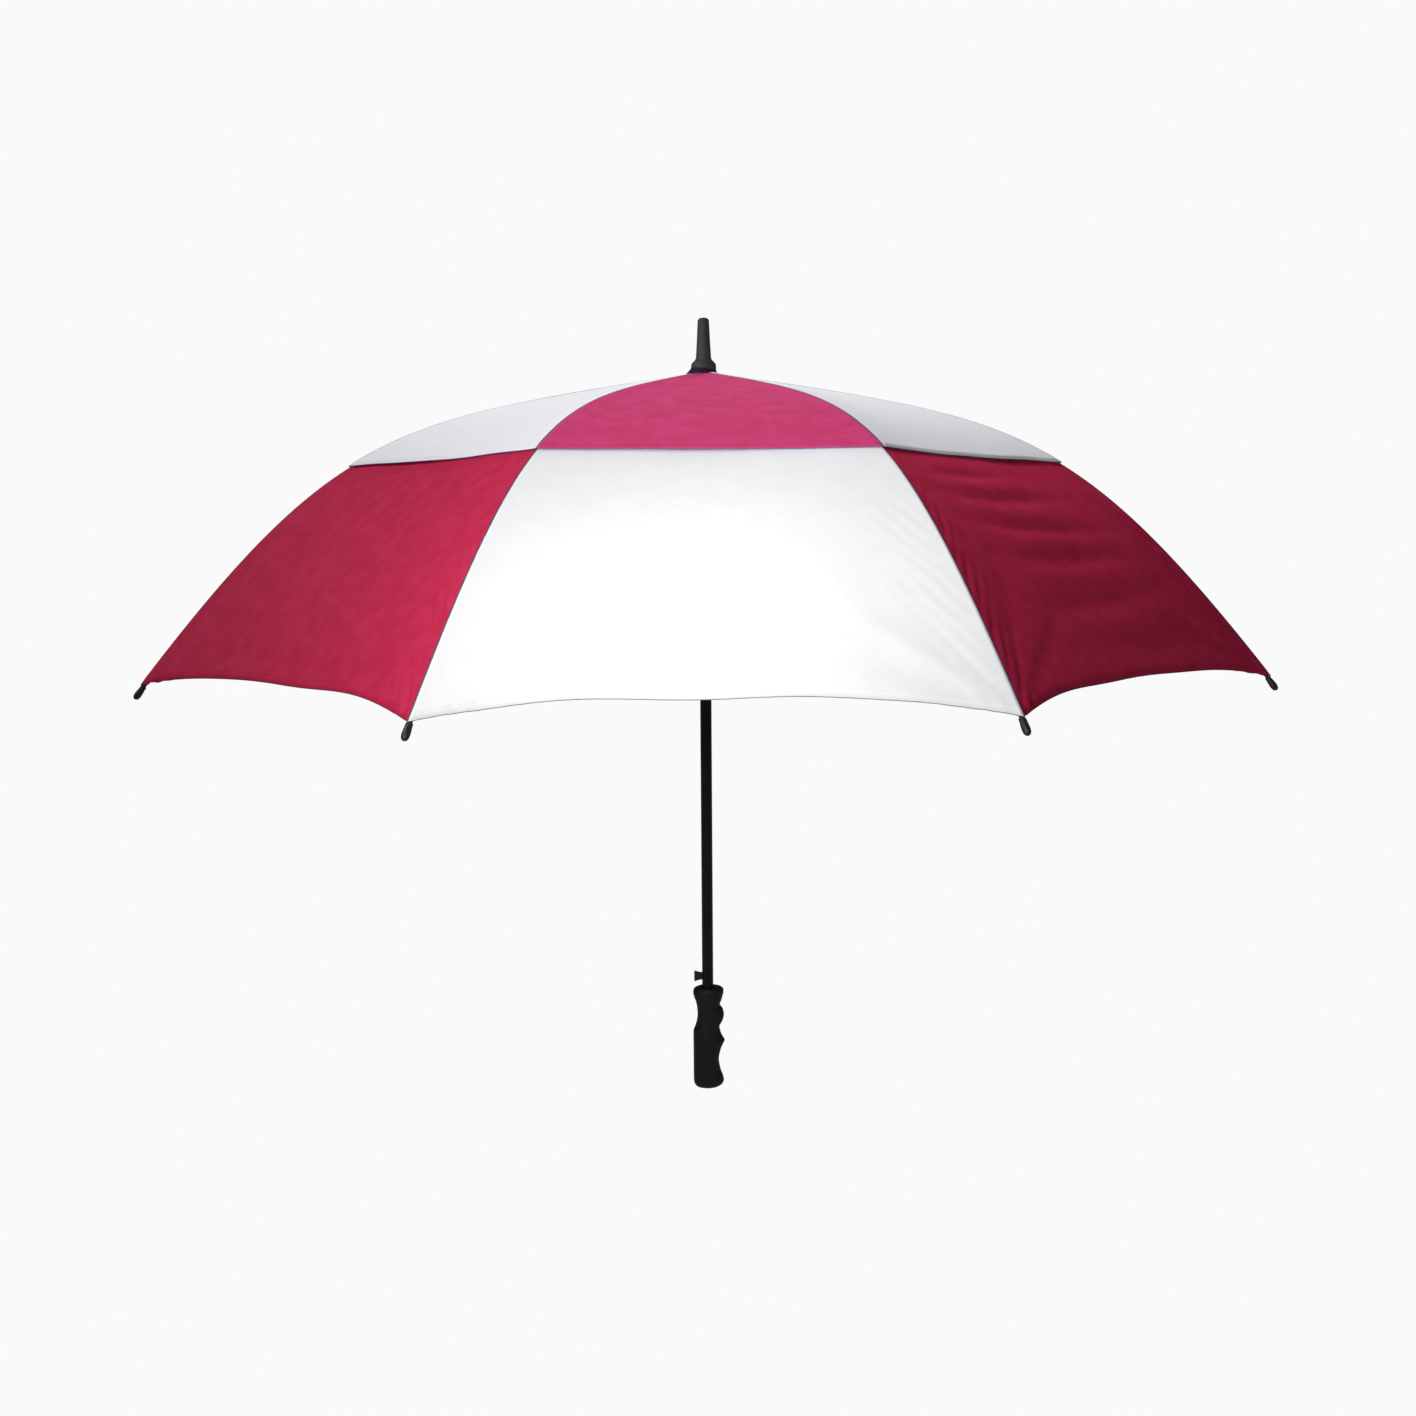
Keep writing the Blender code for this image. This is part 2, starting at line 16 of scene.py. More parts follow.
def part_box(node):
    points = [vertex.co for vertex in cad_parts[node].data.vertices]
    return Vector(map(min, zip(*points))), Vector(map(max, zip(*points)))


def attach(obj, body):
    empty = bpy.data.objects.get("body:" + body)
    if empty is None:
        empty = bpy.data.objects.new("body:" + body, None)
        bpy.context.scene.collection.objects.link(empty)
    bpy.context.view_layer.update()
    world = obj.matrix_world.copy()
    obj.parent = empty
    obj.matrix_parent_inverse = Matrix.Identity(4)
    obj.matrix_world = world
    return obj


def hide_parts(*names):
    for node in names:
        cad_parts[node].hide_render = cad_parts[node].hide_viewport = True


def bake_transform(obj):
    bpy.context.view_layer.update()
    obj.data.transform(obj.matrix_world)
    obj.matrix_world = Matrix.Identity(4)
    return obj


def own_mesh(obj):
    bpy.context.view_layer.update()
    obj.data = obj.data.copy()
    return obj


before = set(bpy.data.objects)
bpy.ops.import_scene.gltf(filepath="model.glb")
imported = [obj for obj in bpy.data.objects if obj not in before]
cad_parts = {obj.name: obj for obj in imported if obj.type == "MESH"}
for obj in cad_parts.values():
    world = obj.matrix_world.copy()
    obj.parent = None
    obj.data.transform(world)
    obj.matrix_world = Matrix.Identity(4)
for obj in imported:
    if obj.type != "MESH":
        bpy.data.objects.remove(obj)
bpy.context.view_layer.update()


def middle_height(node):
    low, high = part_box(node)
    return (low.z + high.z) / 2


# The canopy's ridge line over a rib, as the design has it
RIB_COUNT = 8
HALF_GORE = math.pi / RIB_COUNT
TIP_RADIUS = 0.644
HEM_HEIGHT = 0.540
CROWN_SLOPE = math.radians(10.5)
HEM_SLOPE = math.radians(54)
BEND_AT = 0.65
BEND_WIDTH = 0.11

# Cloth
CLOTH = 0.0004
LAYER_STEP = 0.0022
UPPER_START = 0.0095
UPPER_END = 0.655 * TIP_RADIUS
LOWER_START = 0.56 * TIP_RADIUS
LOWER_END = TIP_RADIUS
HEM_FOLD = 0.0065
FOLD_GAP = 0.0010
STITCH_INSET = 0.0050
STITCH_PITCH = 0.0034
EDGE_BEAD = 0.00045

# Frame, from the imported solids
SHAFT_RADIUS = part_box("shaft_tube")[1].x
NOTCH_Z = middle_height("notch_wire")
PIVOT_RADIUS = 0.013
RIB_DROP = 0.0040
ROD_RADIUS = 0.0022
JOINT_RADIUS = 0.352
LUG_DROP = 0.0065
RING_WIRE = 0.0007
# The tip cap stands 2 mm less past the rib's end than the solid does, as in the photograph
TIP_LENGTH = 0.0155

# How far each closed gore is narrowed
UPPER_KEEP = 0.175
LOWER_KEEP = 0.125

RIDGE_RADII = np.linspace(0, TIP_RADIUS + 0.02, 700)


def slope(radius):
    """The ridge line's downward angle at this radius."""
    share = radius / TIP_RADIUS
    return CROWN_SLOPE + (HEM_SLOPE - CROWN_SLOPE) / (1 + math.exp((BEND_AT - share) / BEND_WIDTH))


def ridge_tables():
    """Heights and lengths along the ridge line at RIDGE_RADII."""
    slopes = np.array([slope(radius) for radius in RIDGE_RADII])
    step = RIDGE_RADII[1]
    falls = (np.tan(slopes[1:]) + np.tan(slopes[:-1])) / 2 * step
    lengths = (1 / np.cos(slopes[1:]) + 1 / np.cos(slopes[:-1])) / 2 * step
    fall = np.concatenate([[0], np.cumsum(falls)])
    length = np.concatenate([[0], np.cumsum(lengths)])
    heights = HEM_HEIGHT + np.interp(TIP_RADIUS, RIDGE_RADII, fall) - fall
    return heights, length


RIDGE_HEIGHTS, RIDGE_LENGTHS = ridge_tables()


def ridge_height(radius):
    return float(np.interp(radius, RIDGE_RADII, RIDGE_HEIGHTS))


def ridge_length(radius):
    return float(np.interp(radius, RIDGE_RADII, RIDGE_LENGTHS))


def under_ridge(radius, drop):
    """(radius, height) of the point that lies this far below the ridge line, square to it."""
    angle = slope(radius)
    return radius - drop * math.sin(angle), ridge_height(radius) - drop * math.cos(angle)


def rib_azimuth(index):
    return (2 * index + 1) * HALF_GORE


def gore_azimuth(index):
    return 2 * index * HALF_GORE


def radial_place(azimuth, radius=0.0, height=0.0, pitch=0.0):
    """The frame whose X points outwards at this azimuth from -Y."""
    turn = Matrix.Rotation(azimuth - math.pi / 2, 4, "Z")
    return turn @ Matrix.Translation((radius, 0, height)) @ Matrix.Rotation(pitch, 4, "Y")


# ---------------------------------------------------------------- mesh helpers


def add_object(name, data, material=None, place=None):
    piece = bpy.data.objects.new(name, data)
    bpy.context.scene.collection.objects.link(piece)
    if material:
        data.materials.clear()
        data.materials.append(material)
    if place is not None:
        data.transform(place)
    return piece


def finished(shape, name, smooth_angle=40):
    """The bmesh as a smooth-shaded mesh with outward faces. The bmesh is freed."""
    mesh = bpy.data.meshes.new(name)
    shape.to_mesh(mesh)
    shape.free()
    mesh.shade_smooth()
    mesh.set_sharp_from_angle(angle=math.radians(smooth_angle))
    return mesh


def circle(radius, count, height=0.0):
    """Points of a circle about Z at this height."""
    turns = [math.tau * i / count for i in range(count)]
    return [(radius * math.cos(turn), radius * math.sin(turn), height) for turn in turns]


def turned(name, outline, steps=64, smooth_angle=40):
    """A closed shape turned about Z from (radius, height) points that run round its section."""
    shape = bmesh.new()
    rings = []
    for radius, height in outline:
        if radius < 1e-7:
            rings.append([shape.verts.new((0, 0, height))])
            continue
        rings.append([shape.verts.new(point) for point in circle(radius, steps, height)])
    pairs = list(zip(rings, rings[1:]))
    if len(rings[0]) > 1:
        pairs.append((rings[-1], rings[0]))
    for upper, lower in pairs:
        for i in range(steps):
            following = (i + 1) % steps
            corners = [upper[i % len(upper)], lower[i % len(lower)]]
            if len(lower) > 1:
                corners.append(lower[following])
            if len(upper) > 1:
                corners.append(upper[following])
            if len(corners) > 2:
                shape.faces.new(corners)
    bmesh.ops.recalc_face_normals(shape, faces=shape.faces)
    return finished(shape, name, smooth_angle)


def rounded(outline, radius, steps=4):
    """The outline's corners, each cut back to a short arc of about this radius."""
    points = []
    count = len(outline)
    for i, corner in enumerate(outline):
        here = Vector(corner)
        before, after = Vector(outline[i - 1]), Vector(outline[(i + 1) % count])
        if here.x < 1e-7:
            points.append(corner)
            continue
        reach = min(radius, (before - here).length * 0.45, (after - here).length * 0.45)
        start = here + (before - here).normalized() * reach
        end = here + (after - here).normalized() * reach
        for step in range(steps + 1):
            t = step / steps
            spot = start * (1 - t) ** 2 + here * 2 * t * (1 - t) + end * t * t
            points.append((spot.x, spot.y))
    return points


def swept(name, points, radii, sides=12, closed=False, smooth_angle=50):
    """A round tube along points, whose radius may change from point to point."""
    shape = bmesh.new()
    path = [Vector(point) for point in points]
    count = len(path)
    if not hasattr(radii, "__len__"):
        radii = [radii] * count
    ahead = (path[1] - path[0]).normalized()
    across = ahead.orthogonal().normalized()
    rings = []
    for i, point in enumerate(path):
        before = path[i - 1] if i or closed else path[0]
        after = path[(i + 1) % count] if i + 1 < count or closed else path[-1]
        heading = (after - before).normalized()
        across = (across - heading * across.dot(heading)).normalized()
        beside = heading.cross(across)
        ring = []
        for side in range(sides):
            angle = math.tau * side / sides
            offset = across * math.cos(angle) + beside * math.sin(angle)
            ring.append(shape.verts.new(point + offset * radii[i]))
        rings.append(ring)
    pairs = list(zip(rings, rings[1:]))
    if closed:
        pairs.append((rings[-1], rings[0]))
    for lower, upper in pairs:
        for side in range(sides):
            following = (side + 1) % sides
            shape.faces.new((lower[side], lower[following], upper[following], upper[side]))
    if not closed:
        shape.faces.new(rings[0][::-1])
        shape.faces.new(rings[-1])
    bmesh.ops.recalc_face_normals(shape, faces=shape.faces)
    return finished(shape, name, smooth_angle)


def lofted(name, sections, smooth_angle=45, looped=False):
    """A mesh through rings of equally many points, closed with a face at each end or on to its start."""
    shape = bmesh.new()
    rings = [[shape.verts.new(point) for point in section] for section in sections]
    pairs = list(zip(rings, rings[1:]))
    if looped:
        pairs.append((rings[-1], rings[0]))
    for lower, upper in pairs:
        for i in range(len(lower)):
            following = (i + 1) % len(lower)
            shape.faces.new((lower[i], lower[following], upper[following], upper[i]))
    if not looped:
        shape.faces.new(rings[0][::-1])
        shape.faces.new(rings[-1])
    bmesh.ops.recalc_face_normals(shape, faces=shape.faces)
    return finished(shape, name, smooth_angle)


def joined(name, meshes, smooth_angle=40):
    """One mesh that holds all of these."""
    shape = bmesh.new()
    for mesh in meshes:
        shape.from_mesh(mesh)
    return finished(shape, name, smooth_angle)


def add_bevel(piece, width):
    bevel = piece.modifiers.new("edges", "BEVEL")
    bevel.width = width
    bevel.segments = 2
    bevel.limit_method = "ANGLE"
    bevel.angle_limit = math.radians(35)
    bevel.harden_normals = False


# ---------------------------------------------------------------- materials


class Finish:
    """A material in the making: its nodes, its links and its Principled shader's inputs."""

    def __init__(self, name, colour, roughness, metallic=0.0, specular=0.5):
        self.material = bpy.data.materials.new(name)
        self.material.use_nodes = True
        self.nodes, self.links = self.material.node_tree.nodes, self.material.node_tree.links
        self.inputs = self.nodes["Principled BSDF"].inputs
        self.inputs["Base Color"].default_value = (*colour, 1)
        self.inputs["Roughness"].default_value = roughness
        self.inputs["Metallic"].default_value = metallic
        self.inputs["Specular IOR Level"].default_value = specular

    def add(self, kind, source, socket, values):
        """A node of this kind with these input values, fed by the source."""
        node = self.nodes.new("ShaderNode" + kind)
        for name, value in values.items():
            node.inputs[name].default_value = value
        self.links.new(source, node.inputs[socket])
        return node

    def place(self, kind="Object", scale=(1, 1, 1)):
        """A socket of Object or UV coordinates, stretched by scale."""
        source = self.nodes.new("ShaderNodeTexCoord").outputs[kind]
        return self.add("Mapping", source, "Vector", {"Scale": scale}).outputs["Vector"]

    def noise(self, place, scale, detail=3.0, roughness=0.55):
        values = {"Scale": scale, "Detail": detail, "Roughness": roughness}
        return self.add("TexNoise", place, "Vector", values).outputs["Fac"]

    def wave(self, place, direction, scale, distortion=0.0):
        wave = self.add("TexWave", place, "Vector", {"Scale": scale, "Distortion": distortion})
        wave.bands_direction = direction
        return wave.outputs["Fac"]

    def colour(self, value, low, high, colours):
        """The base colour runs from one colour to the other between two values."""
        ramp = self.add("ValToRGB", value, "Fac", {})
        for element, position, colour in zip(ramp.color_ramp.elements, (low, high), colours):
            element.position = position
            element.color = (*colour, 1)
        self.links.new(ramp.outputs["Color"], self.inputs["Base Color"])

    def roughness(self, value, low, high):
        """The roughness follows a noise value, brought to between low and high."""
        values = {"From Min": 0.3, "From Max": 0.7, "To Min": low, "To Max": high}
        spread = self.add("MapRange", value, "Value", values)
        self.links.new(spread.outputs["Result"], self.inputs["Roughness"])

    def bump(self, height, distance, strength=1.0, normal=None):
        """The surface follows this height, on top of an earlier bump where one is given."""
        bump = self.add("Bump", height, "Height", {"Strength": strength, "Distance": distance})
        if normal is not None:
            self.links.new(normal, bump.inputs["Normal"])
        self.links.new(bump.outputs["Normal"], self.inputs["Normal"])
        return bump.outputs["Normal"]


def cloth_material(name, colours, sheen, sheen_tint, crumple_depth=0.0003):
    """Plain-woven nylon: fine threads both ways, mottled dye and a soft sheen."""
    finish = Finish(name, colours[0], 0.62, specular=0.14)
    finish.inputs["Sheen Weight"].default_value = sheen
    finish.inputs["Sheen Roughness"].default_value = 0.45
    finish.inputs["Sheen Tint"].default_value = (*sheen_tint, 1)
    place = finish.place()
    finish.colour(finish.noise(place, 55, 4, 0.6), 0.36, 0.66, colours)
    finish.roughness(finish.noise(place, 18, 2), 0.56, 0.68)
    threads = finish.place("UV")
    weave = finish.nodes.new("ShaderNodeMath")
    weave.operation = "MAXIMUM"
    for socket, direction in zip(weave.inputs, "XY"):
        finish.links.new(finish.wave(threads, direction, 1100, 0.4), socket)
    normal = finish.bump(weave.outputs["Value"], 0.00005, 0.5)
    finish.bump(finish.noise(place, 130, 3), crumple_depth, 0.25, normal)
    return finish.material


def thread_material(name, colours):
    """Twisted sewing thread: slanted strands and uneven dye."""
    finish = Finish(name, colours[0], 0.7, specular=0.2)
    finish.colour(finish.noise(finish.place(), 400, 2), 0.35, 0.65, colours)
    strands = finish.place(scale=(1, 1, 1.6))
    finish.bump(finish.wave(strands, "DIAGONAL", 500), 0.00008)
    return finish.material


def moulded_material(name, colours, roughness, grain, depth):
    """Moulded plastic: fine grain, faint flow marks and rubbed patches."""
    finish = Finish(name, colours[0], roughness[0], specular=0.4)
    place = finish.place()
    finish.colour(finish.noise(place, 90, 4), 0.35, 0.7, colours)
    finish.roughness(finish.noise(place, 140, 3), *roughness)
    finish.bump(finish.noise(place, grain, 2), depth)
    return finish.material


def metal_material(name, colours, roughness):
    """Plated steel: fine streaks and faint stains."""
    finish = Finish(name, colours[0], roughness[0], metallic=1.0)
    place = finish.place()
    finish.colour(finish.noise(place, 60, 4), 0.35, 0.7, colours)
    streaks = finish.noise(place, 900, 3)
    finish.roughness(streaks, *roughness)
    finish.bump(streaks, 0.00002, 0.6)
    return finish.material


def painted_material(name, colours, roughness, coat=0.3):
    """Gloss paint on a tube: slight orange peel, fine rubs along the length and a clear coat."""
    finish = Finish(name, colours[0], roughness[0], specular=0.2)
    finish.inputs["Coat Weight"].default_value = coat
    finish.inputs["Coat Roughness"].default_value = 0.12
    place = finish.place()
    finish.colour(finish.noise(place, 30, 3), 0.35, 0.7, colours)
    finish.roughness(finish.noise(finish.place(scale=(1, 1, 0.04)), 1200, 3), *roughness)
    finish.bump(finish.noise(place, 420, 1), 0.00003, 0.7)
    return finish.material


LAVENDER = (0.86, 0.84, 0.95)
ROSE = (0.95, 0.55, 0.75)
RED_CLOTH = cloth_material("red_nylon", ((0.53, 0.016, 0.060), (0.60, 0.023, 0.090)), 0.01, ROSE)
# The upper gores' red is the lower red made lighter and pinker: painted light for the brighter top and its
# sheen.
PAINTED_LIGHT_PINK_CLOTH = cloth_material("upper_red_nylon_painted_light", ((0.61, 0.048, 0.155), (0.68, 0.060, 0.200)), 0.03, ROSE)
WHITE_CLOTH = cloth_material("white_nylon", ((0.905, 0.905, 0.92), (0.93, 0.93, 0.94)), 0.03, LAVENDER,
                             0.00015)
PLUM_CLOTH = cloth_material("plum_nylon", ((0.018, 0.011, 0.026), (0.032, 0.018, 0.044)), 0.02, ROSE)
PLUM_THREAD = thread_material("plum_thread", ((0.045, 0.030, 0.085), (0.075, 0.050, 0.125)))
BLUE_THREAD = thread_material("periwinkle_thread", ((0.16, 0.15, 0.38), (0.22, 0.20, 0.46)))
# Grey overlock thread for the white gores' edges, partly painted shade: dark enough that a shaded line
# shows along the white hem and seams.
GREY_THREAD_AND_PAINTED_SHADE = thread_material("grey_thread_and_painted_shade", ((0.20, 0.20, 0.23), (0.28, 0.28, 0.31)))
WHITE_THREAD = thread_material("white_thread", ((0.80, 0.80, 0.82), (0.88, 0.88, 0.90)))
RED_THREAD = thread_material("red_thread", ((0.36, 0.015, 0.055), (0.42, 0.020, 0.070)))
ROD_FINISH = painted_material("fibreglass", ((0.016, 0.016, 0.019), (0.028, 0.027, 0.031)), (0.28, 0.42))
STEEL = metal_material("plated_steel", ((0.50, 0.50, 0.52), (0.62, 0.62, 0.64)), (0.22, 0.38))
WIRE_STEEL = metal_material("spring_steel", ((0.40, 0.40, 0.42), (0.55, 0.55, 0.57)), (0.20, 0.34))
PLASTIC = moulded_material("frame_plastic", ((0.018, 0.018, 0.020), (0.030, 0.029, 0.031)), (0.36, 0.50),
                           2600, 0.00003)
SHAFT_PAINT = painted_material("shaft_gloss", ((0.006, 0.005, 0.006), (0.010, 0.008, 0.010)),
                               (0.20, 0.34), 0.1)
FERRULE_PLASTIC = moulded_material("ferrule_plastic", ((0.042, 0.040, 0.035), (0.060, 0.053, 0.052)),
                                   (0.55, 0.72), 3200, 0.00005)
GRIP_PLASTIC = moulded_material("grip_plastic", ((0.0085, 0.0075, 0.0080), (0.0135, 0.0115, 0.0120)),
                                (0.46, 0.62), 3600, 0.00004)


# ---------------------------------------------------------------- cloth shape


def soft_ridge(value, centre, width):
    """1 at the centre of a fold, falling softly to 0 beside it."""
    return math.exp(-(((value - centre) / width) ** 2))


def varied(*numbers):
    """A repeatable value between -1 and 1 for these numbers."""
    return math.sin(12.9898 * sum(n * (i + 1.7) for i, n in enumerate(numbers)) + 0.6)


# Folds that run from rib to rib on a lower gore:
# distance below the vent, middle and half length across (-1 to 1), half width, depth
HOOP_FOLDS = {
    1: ((0.210, 0.30, 0.5, 0.016, 0.0005), (0.285, -0.20, 0.6, 0.018, 0.0006)),
    2: (
        (0.030, -0.30, 0.40, 0.0075, 0.0025),
        (0.066, -0.15, 0.50, 0.0090, 0.0032),
        (0.108, -0.05, 0.55, 0.0090, 0.0030),
        (0.150, 0.05, 0.45, 0.0110, 0.0030),
        (0.205, 0.10, 0.50, 0.0130, 0.0024),
        (0.262, 0.25, 0.40, 0.0140, 0.0016),
    ),
    8: (
        (0.085, 0.10, 0.6, 0.014, 0.0016),
        (0.150, 0.15, 0.5, 0.012, 0.0024),
        (0.192, 0.05, 0.4, 0.011, 0.0042),
        (0.236, -0.20, 0.5, 0.013, 0.0022),
        (0.275, -0.05, 0.5, 0.012, 0.0044),
    ),
}
# How a lower gore puckers at its seams: slant to the seam, how far in it starts, reach and depth
PUCKERS = {
    1: (27, 0.014, 0.055, 0.0009),
    2: (30, 0.006, 0.020, 0.0027),
    8: (28, 0.006, 0.020, 0.0034),
}
PUCKER_PERIOD = 0.030
CORNER_CREASES = (14, 27, 40, 53)


def hoop_folds(number, below_vent, across):
    """Soft folds between the ribs."""
    folds = HOOP_FOLDS.get(number)
    if folds is None:
        folds = []
        for i in range(4):
            depth = 0.0009 + 0.0004 * varied(number, i, 3)
            place = 0.06 + 0.07 * i + 0.015 * varied(number, i)
            folds.append((place, 0.3 * varied(i, number), 0.5, 0.013, depth))
    total = 0
    for place, centre, half_length, half_width, depth in folds:
        bent = below_vent + 0.010 * (across - centre) * varied(number, place) + 0.008 * across * across
        total -= depth * soft_ridge(bent, place, half_width) * soft_ridge(across, centre, half_length)
    return total


def seam_puckers(number, below_vent, from_seam, side):
    """Slanting puckers that fade away from a seam."""
    usual = (27 + 5 * varied(number, side), 0.008, 0.024, 0.0010)
    slant, start, reach, depth = PUCKERS.get(number, usual)
    along = below_vent + from_seam / math.tan(math.radians(slant))
    wander = 0.35 * noise.noise(Vector((below_vent * 20, number, side)))
    wave = math.sin(math.tau * (along / PUCKER_PERIOD + wander + 0.37 * number * side))
    fade = from_seam**2 / (from_seam**2 + start**2) * math.exp(-from_seam / reach)
    grows = min(1.0, max(0.15, (below_vent - 0.02) / 0.14))
    return depth * wave * fade * grows


def corner_creases(number, inward, upward, side):
    """Creases pulled out of the cloth by the corner that is tied to a rib tip."""
    distance = math.hypot(inward, upward)
    bearing = math.degrees(math.atan2(upward, inward))
    fade = distance / (distance + 0.010) * math.exp(-((distance / 0.17) ** 2))
    total = 0
    for i, angle in enumerate(CORNER_CREASES):
        centre = angle + 5 * varied(number, side, i)
        strength = 0.75 + 0.45 * varied(i, number, side)
        total += (-1) ** i * strength * soft_ridge(bearing, centre, 4.6)
    return 0.0022 * fade * total


def lower_relief(number, across, radius):
    """How far a lower gore stands off its plain shape, square to it."""
    hem = LOWER_END
    half_width = radius * math.sin(HALF_GORE)
    below_vent = ridge_length(radius) - ridge_length(UPPER_END)
    above_hem = ridge_length(hem) - ridge_length(radius)
    hem_half_width = hem * math.sin(HALF_GORE)
    x = across * half_width
    relief = hoop_folds(number, below_vent, across)
    puckers = 0
    for side in (-1, 1):
        from_seam = half_width - side * x
        puckers += seam_puckers(number, below_vent, max(from_seam, 0), side)
        relief += corner_creases(number, max(hem_half_width - side * x, 0), above_hem, side)
    billow = noise.noise(Vector((x * 7, radius * 7, number * 3.7)))
    relief += 0.0022 * billow
    flat_at_seam = 1 - abs(across) ** 6
    return relief * flat_at_seam + puckers


def upper_relief(number, across, radius):
    """How far an upper gore stands off its plain shape: gathers at the crown and a loose hem."""
    half_width = radius * math.sin(HALF_GORE)
    x = across * half_width
    to_hem = UPPER_END - radius
    gathers = 0.0007 * math.sin(across * 9 + number) * math.exp(-radius / 0.06)
    billow = 0.0016 * noise.noise(Vector((x * 8, radius * 8, number * 5.1 + 2)))
    ripple = 0.0002 * math.sin(across * 7.5 + number * 1.9) * math.exp(-to_hem / 0.022)
    pleat = 0
    if number == 1:
        pleat = -0.0016 * soft_ridge(across, -0.80, 0.10) * soft_ridge(radius, 0.15, 0.06)
    relief = gathers + billow + ripple + pleat
    flat_at_seam = 1 - abs(across) ** 14
    return relief * flat_at_seam


LAYERS = {
    "upper": {
        "start": UPPER_START,
        "end": UPPER_END,
        "lift": LAYER_STEP,
        "sag": 0.0085,
        "hem_rise": 0.006,
        "hem_wave": 0.0004,
        "relief": upper_relief,
        "columns": 44,
        "rows": 52,
        "keep": UPPER_KEEP,
    },
    "lower": {
        "start": LOWER_START,
        "end": LOWER_END,
        "lift": 0.0,
        "sag": 0.010,
        "hem_rise": 0.016,
        "hem_wave": 0.0006,
        "relief": lower_relief,
        "columns": 88,
        "rows": 56,
        "keep": LOWER_KEEP,
    },
}


def hem_radius(layer, number, across):
    """The radius of the hem, drawn up between its corners and slightly wavy."""
    rise = layer["hem_rise"] * (1 - abs(across) ** 3)
    wave = layer["hem_wave"] * math.sin(across * 8.5 + number * 2.3) * (1 - across * across)
    return layer["end"] - rise + wave


def cloth_point(layer, number, across, radius, below=0.0):
    """A point on the cloth of a gore that faces +X, this far under its outer face."""
    angle = slope(radius)
    inset = layer["lift"] - layer["sag"] * radius / TIP_RADIUS * (1 - across * across)
    above_fold = hem_radius(layer, number, across) - HEM_FOLD
    inset += layer["relief"](number, across, min(radius, above_fold)) - below
    depth = radius * math.cos(HALF_GORE)
    edge = depth + layer["lift"] * math.sin(angle)
    half_width = edge * math.tan(HALF_GORE) - EDGE_BEAD
    height = ridge_height(radius) + inset * math.cos(angle)
    return Vector((depth + inset * math.sin(angle), across * half_width, height))


def column_place(column, columns):
    """Where a column of the sheet stands, from -1 to 1: closer together towards the seams."""
    even = -1 + 2 * column / columns
    return 0.45 * even + 0.55 * math.sin(even * math.pi / 2)


def gore_mesh(layer_name, number):
    """The sheet of a gore, with its hem folded under, and thread-wise UVs in metres."""
    layer = LAYERS[layer_name]
    columns, rows = layer["columns"], layer["rows"]
    fold = ((0.0, FOLD_GAP * 0.45), (0.0008, FOLD_GAP), (HEM_FOLD * 0.5, FOLD_GAP), (HEM_FOLD, FOLD_GAP))
    shape = bmesh.new()
    threads = shape.loops.layers.uv.new("threads")
    places = {}
    grid = []
    for row in range(rows + 1 + len(fold)):
        line = []
        for column in range(columns + 1):
            across = column_place(column, columns)
            hem = hem_radius(layer, number, across)
            if row <= rows:
                share = row / rows
                radius, below = layer["start"] + (hem - layer["start"]) * share, 0.0
                length = ridge_length(radius)
            else:
                back, below = fold[row - rows - 1]
                radius = hem - back
                length = ridge_length(hem) + back
            vertex = shape.verts.new(cloth_point(layer, number, across, radius, below))
            places[vertex] = (across * radius * math.sin(HALF_GORE), length)
            line.append(vertex)
        grid.append(line)
    for upper, lower in zip(grid, grid[1:]):
        for i in range(columns):
            face = shape.faces.new((upper[i], lower[i], lower[i + 1], upper[i + 1]))
            for loop in face.loops:
                loop[threads].uv = places[loop.vert]
    top_face = shape.faces[:][0]
    top_face.normal_update()
    if top_face.normal.z < 0:
        bmesh.ops.reverse_faces(shape, faces=shape.faces)
    mesh = bpy.data.meshes.new(layer_name)
    shape.to_mesh(mesh)
    shape.free()
    mesh.shade_smooth()
    return mesh


def edge_bead(layer_name, number):
    """The overlocked edge of a gore: a fine bead down one seam, along the hem and up the other."""
    layer = LAYERS[layer_name]
    points = []
    steps = 48

    def follow_seam(side, order):
        corner = hem_radius(layer, number, side)
        for i in order:
            radius = layer["start"] + (corner - layer["start"]) * i / steps
            points.append(cloth_point(layer, number, side, radius, CLOTH / 2))

    follow_seam(-1, range(steps))
    for i in range(2 * steps + 1):
        across = -1 + i / steps
        radius = hem_radius(layer, number, across)
        points.append(cloth_point(layer, number, across, radius, FOLD_GAP / 2))
    follow_seam(1, range(steps - 1, -1, -1))
    return swept("bead", points, EDGE_BEAD, sides=6, smooth_angle=80)


def stitch_row(layer_name, number):
    """The row of lock stitches that holds the hem's fold, each a short raised thread."""
    layer = LAYERS[layer_name]
    half_width = layer["end"] * math.sin(HALF_GORE)
    count = int(2 * half_width / STITCH_PITCH)
    shape = bmesh.new()
    for i in range(count):
        across = -1 + 2 * (i + 0.5) / count
        if abs(across) > 0.985:
            continue
        radius = hem_radius(layer, number, across) - STITCH_INSET
        here = cloth_point(layer, number, across, radius, -0.00006)
        ahead = cloth_point(layer, number, across + 0.004, radius, -0.00006)
        along = (ahead - here).normalized()
        up = Vector((math.sin(slope(radius)), 0, math.cos(slope(radius))))
        beside = up.cross(along).normalized()
        up = along.cross(beside)
        turn = Matrix((along, beside, up)).transposed().to_4x4()
        size = Matrix.Diagonal((STITCH_PITCH * 0.40, 0.00021, 0.00016, 1))
        bmesh.ops.create_uvsphere(
            shape,
            u_segments=6,
            v_segments=4,
            radius=1,
            matrix=Matrix.Translation(here) @ turn @ size @ Matrix.Rotation(math.pi / 2, 4, "Y"),
        )
    return finished(shape, "stitches", 80)


